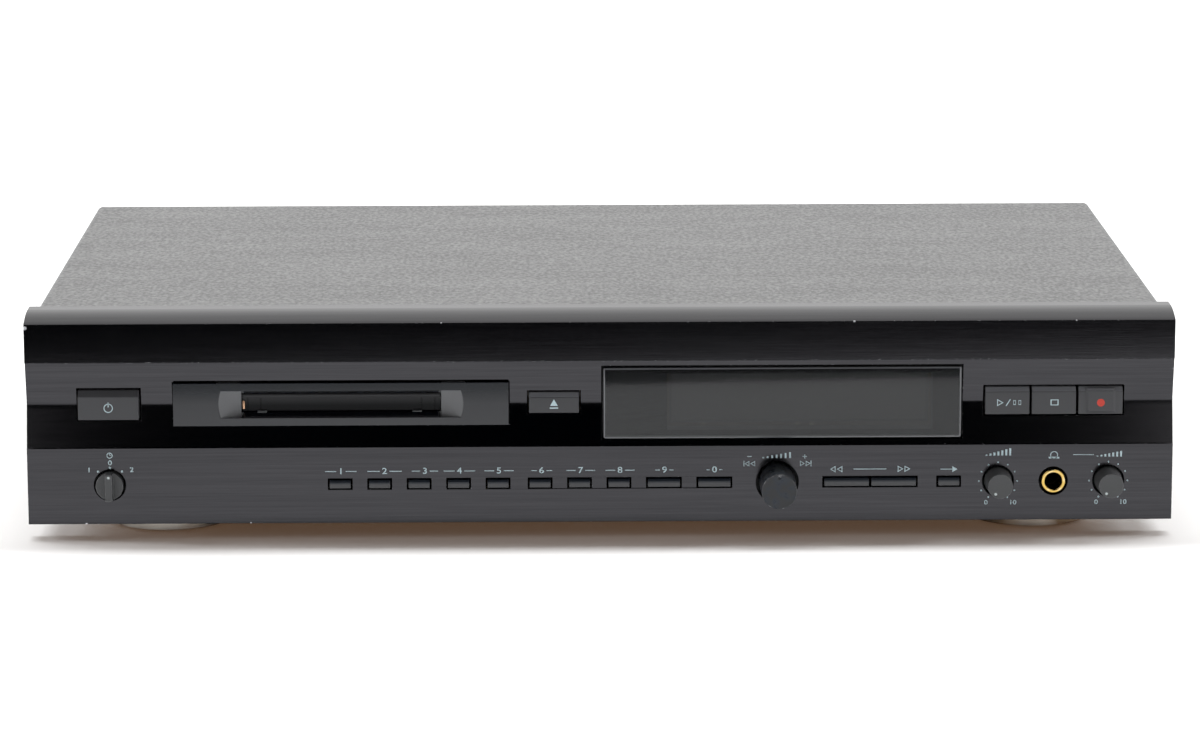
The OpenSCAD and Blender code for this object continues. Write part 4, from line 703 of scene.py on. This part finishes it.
# ------------------------------------------------------------ the printed marks
# Pale ink, silk-screened on the panel and the keys after anodising: plain
# numbers, dots and the usual signs for play, stop, search and eject.
def lay(marks, points, x, z, turn, wide=1.0):
    """Turns flat points, widens them and stands them up at a place on the front, in mm."""
    upright = Matrix.Rotation(pi / 2, 4, "X") @ Matrix.Diagonal((wide, 1, 1, 1))
    place = Matrix.Translation(at(x, 0, z)) @ upright @ Matrix.Rotation(radians(turn), 4, "Z")
    bmesh.ops.transform(marks, verts=points, matrix=place)


def figure(marks, sides, radius, x, z, turn=0.0, wide=1.0, hollow=0.0):
    """One flat sign: a disc or polygon, or the outline of one where hollow is over 0."""
    made = []
    for reach in [radius] + ([radius * hollow] if hollow else []):
        made += bmesh.ops.create_circle(
            marks, cap_ends=not hollow, segments=sides, radius=reach / 1000
        )["verts"]
    if hollow:
        bmesh.ops.bridge_loops(marks, edges=around(made, "edges"))
    lay(marks, made, x, z, turn, wide)


def triangle(marks, x, z, size, turn, hollow):
    """A triangle that points right, or as many degrees round from that as turn says."""
    figure(marks, 3, size, x, z, turn - 90, 1.0, hollow)


def bar(marks, x, z, wide, high, turn=0.0):
    made = bmesh.ops.create_grid(marks, x_segments=1, y_segments=1, size=0.0005)["verts"]
    bmesh.ops.scale(marks, vec=(wide, high, 1), verts=made)
    lay(marks, made, x, z, turn)


def number(marks, digits, high, x, z):
    """A plain numeral of the given height, made a mesh before it is placed."""
    share_of_type, bolder, wider = 0.7, 0.00004, 1.2
    letters = bpy.data.curves.new("numeral", "FONT")
    letters.body, letters.size = digits, high / (1000 * share_of_type)
    letters.align_x, letters.align_y = "CENTER", "CENTER"
    letters.offset = bolder
    holder = bpy.data.objects.new("numeral", letters)
    flat = bpy.data.meshes.new_from_object(holder)
    before = set(marks.verts)
    marks.from_mesh(flat)
    lay(marks, [v for v in marks.verts if v not in before], x, z, 0, wider)
    bpy.data.objects.remove(holder)
    bpy.data.meshes.remove(flat)
    bpy.data.curves.remove(letters)


def printed(name, marks, finish, body, face, turn=None):
    """Gives the marks the ink's thickness, on the face at that depth in mm."""
    thick = 0.03
    bmesh.ops.remove_doubles(marks, verts=marks.verts, dist=1e-6)
    top = corners(bmesh.ops.extrude_face_region(marks, geom=marks.faces[:]))
    bmesh.ops.translate(marks, vec=(0, -thick / 1000, 0), verts=top)
    bmesh.ops.translate(marks, vec=(0, face / 1000, 0), verts=marks.verts)
    if turn:
        bmesh.ops.transform(marks, verts=marks.verts, matrix=turn)
    piece(name, marks, finish, body)


ink = moulded("pale_ink", (0.56, 0.7, 0.74), 0.5, 0.0002, 0.000006)
red_ink = moulded("red_ink", (0.62, 0.05, 0.03), 0.5, 0.0002, 0.000006)
low_face, mark_z, clear = 0.5, 20.0, 1.8

# A number over each small key, between two lines as long as the key.
numbered_keys = [
    (-98.6, 6), (-82, 6.5), (-66.7, 5), (-53.6, 6), (-38.6, 5.5),
    (-22.4, 4), (-7.6, 5.5), (7.4, 5.5), (24.3, 3.5), (43.3, 3),
]
shape = bmesh.new()
for count, (x, reach) in enumerate(numbered_keys, 1):
    number(shape, str(count % 10), 2.3, x, mark_z)
    for side in (-1, 1):
        bar(shape, x + side * (reach + clear) / 2, mark_z, reach - clear, 0.3)
printed("key_numbers", shape, ink, "deck", low_face)

# A clock over the timer knob, and a dot and a number for each of its three settings.
shape = bmesh.new()
figure(shape, 20, 1.15, -186.2, 26.6, hollow=0.76)
bar(shape, -186.2, 26.95, 0.25, 0.8)
bar(shape, -185.95, 26.6, 0.7, 0.25)
number(shape, "0", 1.8, -186.1, 23.7)
number(shape, "1", 1.8, -194.1, 21.0)
number(shape, "2", 1.8, -177.9, 21.0)
for x, z in ((-190.7, 20.4), (-186.2, 21.9), (-181.6, 20.4)):
    figure(shape, 12, 0.46, x, z)
printed("timer_marks", shape, ink, "deck", low_face)

# Minus and plus, the search signs and a rising row of bars around the jog knob.
shape = bmesh.new()
bar(shape, 56.6, 25.1, 1.6, 0.3)
for turn in (0, 90):
    bar(shape, 77.6, 25.0, 1.6, 0.3, turn)
for side, x in ((-1, 56.8), (1, 77.7)):
    for step in (-1.1, 1.1):
        triangle(shape, x + step - side * 0.2, 22.3, 1.25, 90 - side * 90, 0.6)
    bar(shape, x + side * 2.3, 22.3, 0.3, 2.2)
for step in range(7):
    high = 0.5 + 0.3 * step
    bar(shape, 61.8 + 1.7 * step, 24.4 + high / 2, 0.7, high)
printed("jog_marks", shape, ink, "deck", low_face)

# The search keys' signs with a line between them, and an arrow to the input key.
shape = bmesh.new()
for side, x in ((-1, 89.9), (1, 115.0)):
    for step in (-1.3, 1.3):
        triangle(shape, x + step, mark_z, 1.45, 90 - side * 90, 0.6)
bar(shape, 102.4, mark_z, 12.5, 0.28)
bar(shape, 131.4, 19.8, 4.4, 0.3)
triangle(shape, 134.4, 19.8, 1.3, 0, 0)
printed("search_marks", shape, ink, "deck", low_face)

# A scale of eleven dots around each level knob, from 0 to 10, and rising bars above
# it. A ring on a bar stands over the phones socket, between the two.
scale_radius, scale_z = 7.3, 15.1
shape = bmesh.new()
for x in (151.2, 193.2):
    for step in range(11):
        turn = radians(30 * step - 150)
        x_dot, z_dot = x + scale_radius * sin(turn), scale_z + scale_radius * cos(turn)
        figure(shape, 12, 0.34, x_dot, z_dot)
    number(shape, "0", 1.7, x - 4.5, 6.7)
    number(shape, "10", 1.7, x + 5.7, 6.7)
for x, z, tall in ((151.2, 25.0, 2.8), (193.4, 24.4, 2.2)):
    for step in range(7):
        high = 0.4 + (tall - 0.4) * step / 6
        bar(shape, x + (step - 3) * 1.5, z + high / 2, 0.75, high)
figure(shape, 24, 1.5, 172.4, 25.1, hollow=0.8)
bar(shape, 172.4, 24.1, 4.0, 0.7)
bar(shape, 183.6, 25.2, 7.8, 0.26)
printed("level_marks", shape, ink, "deck", low_face)

# The signs on the large keys' own faces. The power key stands out further than the
# others, and so does the recording key's block.
key_face, power_face, block_face = 2.0, 0.6, 1.1
shape = bmesh.new()
figure(shape, 28, 1.75, -186.3, 44.9, hollow=0.82)
bar(shape, -186.3, 46.2, 0.34, 1.9)
printed("power_sign", shape, ink, "power_key", power_face)
shape = bmesh.new()
triangle(shape, -17.6, 45.6, 1.7, 90, 0)
bar(shape, -17.6, 43.9, 3.2, 0.5)
printed("eject_sign", shape, ink, "eject_key", key_face)
shape = bmesh.new()
triangle(shape, 151.4, 45.2, 1.6, 0, 0.66)
bar(shape, 154.8, 45.2, 0.32, 3.0, -32)
for x in (157.2, 159.2):
    figure(shape, 4, 1.25, x, 45.2, 45, 0.55, 0.7)
printed("play_sign", shape, ink, "play_key", key_face)
shape = bmesh.new()
figure(shape, 4, 1.6, 172.4, 45.2, 45, 1.35, 0.74)
printed("stop_sign", shape, ink, "stop_key", key_face)
shape = bmesh.new()
figure(shape, 24, 1.5, 189.9, 45.2)
printed("record_sign", shape, red_ink, "rec_key", block_face)

# White paint fills the dimple near the rim of each knob except the jog knob.
pointer_white = moulded("pointer_white", (0.72, 0.78, 0.78), 0.4)
for knob, x, z, face in (
    ("timer", -186.3, 19.1, -5.2),
    ("rec_level", 149.45, 12.07, -9.2),
    ("phones_level", 191.45, 12.07, -9.2),
):
    shape = bmesh.new()
    figure(shape, 16, 0.52, x, z)
    body = frame["nodes"][knob + "_knob"]["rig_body"]
    printed(knob + "_pointer", shape, pointer_white, body, face)

# ------------------------------------------------- the marks printed on the back
# A thin line around each group of sockets, a number over each one, and arrows
# that show which way the signal runs, in the same ink as on the front.
rear_face = 262
shape = bmesh.new()
for x0, x1, z0, z1 in ((-130, -99, 12, 50), (-79, 6, 8, 36)):
    for z in (z0, z1):
        bar(shape, (x0 + x1) / 2, z, x1 - x0, 0.4)
    for x in (x0, x1):
        bar(shape, x, (z0 + z1) / 2, 0.4, z1 - z0)
for digits, x, number_z, arrow_z, side in (
    ("1", -107.5, 46.5, 14.6, 1), ("2", -121.5, 46.5, 14.6, -1),
    ("3", -69.5, 32.4, 10.8, -1), ("4", -3.5, 32.4, 10.8, 1),
    ("5", -23.5, 32.4, 10.8, 1), ("6", -43.5, 32.4, 10.8, -1),
):
    number(shape, digits, 2.8, x, number_z)
    triangle(shape, x, arrow_z, 1.1, 90 * side, 0)
turn = Matrix.Translation((0, rear_face / 1000 + 2 * panel_low.y, 0)) @ Matrix.Rotation(pi, 4, "Z")
printed("rear_marks", shape, ink, "deck", 0, turn)

# -------------------------------------------------------- the cover and screws
# One sheet of steel bent over the top and down both sides, sprayed with a fine
# black textured paint and held by black screws at the sides and the back.
cover_paint = Finish("cover_paint", IOR=1.6, Coat_Roughness=0.35)
speck = cover_paint.noise(0.0005, 3)
drift = cover_paint.noise(0.022, 4, (3, 1, 1))
mottle = cover_paint.between(cover_paint.noise(0.0015, 3, (1, 1.8, 1), 0.6), 0.3, 0.7)
chip = cover_paint.edges(0.0005, 0.05, 0.3)
chip = chip * cover_paint.between(cover_paint.noise(0.001, 2), 0.62, 0.68)
fluff = cover_paint.between(cover_paint.noise(0.0011, 0), 0.8, 0.83)
cover_paint.paint(
    Base_Color=cover_paint.mix(
        chip.maths("MAXIMUM", fluff * 0.4),
        cover_paint.mix(mottle * 0.7 + drift * 0.3, (0.045, 0.045, 0.045), (0.085, 0.084, 0.083)),
        (0.5, 0.5, 0.5),
    ),
    Roughness=0.3 + speck * 0.16 + mottle * 0.1,
    Coat_Weight=mottle * 1.1 + drift * 0.5 - 0.35,
)
cover_paint.relief(speck * 0.3 + mottle * 0.7, 0.0003, 0.6, 0.0005)
dress(cover_paint, "top_cover")


def stack(shape, rings, place, closed=False):
    """Walls from ring to ring, each (spots, height) in mm, with lids or closed in itself.

    They are bridged as equal circles one above another, so that point meets point.
    """
    loops, goals = [], []
    for level, (spots, high) in enumerate(rings):
        lifted = Matrix.Translation((0, 0, level))
        made = bmesh.ops.create_circle(shape, segments=len(spots), radius=1, matrix=lifted)["verts"]
        loops.append(around(made, "edges"))
        goals += [(point, (x, y, high)) for point, (x, y) in zip(made, spots)]
    for lower, upper in zip(loops, loops[1:] + loops[:1] if closed else loops[1:]):
        bmesh.ops.bridge_loops(shape, edges=lower + upper)
    if not closed:
        for end in (loops[0], loops[-1]):
            bmesh.ops.edgeloop_fill(shape, edges=end)
    for point, goal in goals:
        point.co = place @ (Vector(goal) / 1000)


def round_of(radius, sides=24):
    turns = [2 * pi * n / sides for n in range(sides)]
    return [(radius * cos(turn), radius * sin(turn)) for turn in turns]


def cross_of(arm, half):
    """A cross as 24 points: three at each arm's end and three at each inner corner."""
    mid = (arm + half) / 2
    quarter = [(arm, 0), (arm, half), (mid, half), (half, half), (half, mid), (half, arm)]
    turned_on = [[(x, y), (-y, x), (-x, -y), (y, -x)] for x, y in quarter]
    return [spots[turn] for turn in range(4) for spots in turned_on]


screw_steel = moulded(
    "screw_steel", (0.03, 0.03, 0.032), 0.3, 0.0004, 0.00001, (0.3, 0.3, 0.31), 0.00015,
    Metallic=0.9,
)
head_area, longest, shank = 25e-6, 0.02, 0.0016  # in metres, as the solid is
solid = joined("screws")
shape = bmesh.new()
for head in [f for f in solid.faces if f.calc_area() > head_area]:
    middle, out = head.calc_center_median(), head.normal
    own = [v.co - middle for v in solid.verts if (v.co - middle).length < longest]
    tip = 1000 * min(spot.dot(out) for spot in own if spot.cross(out).length < shank)
    place = Matrix.Translation(middle) @ out.to_track_quat("Z", "Y").to_matrix().to_4x4()
    stack(shape, [
        (round_of(1.0), tip), (round_of(1.4), tip + 0.4), (round_of(1.4), -1.6),
        (round_of(3), -1.6), (round_of(3), -0.6), (round_of(2.75), -0.22), (round_of(2.1), 0),
        (cross_of(1.5, 0.36), 0), (cross_of(0.9, 0.26), -0.95),
    ], place)
solid.free()
piece("cross_screws", shape, screw_steel, "deck", "screws")

# ------------------------------------------ the insulators around the sockets
# Under each socket's shell sits a washer of coloured plastic: red for the right
# channel, white for the left, orange for the digital one.
for name, colour, spots in (
    ("red", (0.5, 0.02, 0.02), [(107.5, 22), (121.5, 22)]),
    ("white", (0.6, 0.6, 0.57), [(107.5, 36), (121.5, 36)]),
    ("orange", (0.7, 0.2, 0.02), [(69.5, 22)]),
):
    shape = bmesh.new()
    for x, z in spots:
        place = Matrix.Translation(at(x, rear_face, z)) @ Matrix.Rotation(-pi / 2, 4, "X")
        stack(shape, [
            (round_of(radius, 40), high) for radius, high in (
                (4.4, 0), (6.2, 0), (6.2, 0.7), (6.0, 0.9), (4.55, 0.9), (4.4, 0.75),
            )
        ], place, True)
    piece(name + "_insulators", shape, moulded(name + "_plastic", colour, 0.35), "deck")
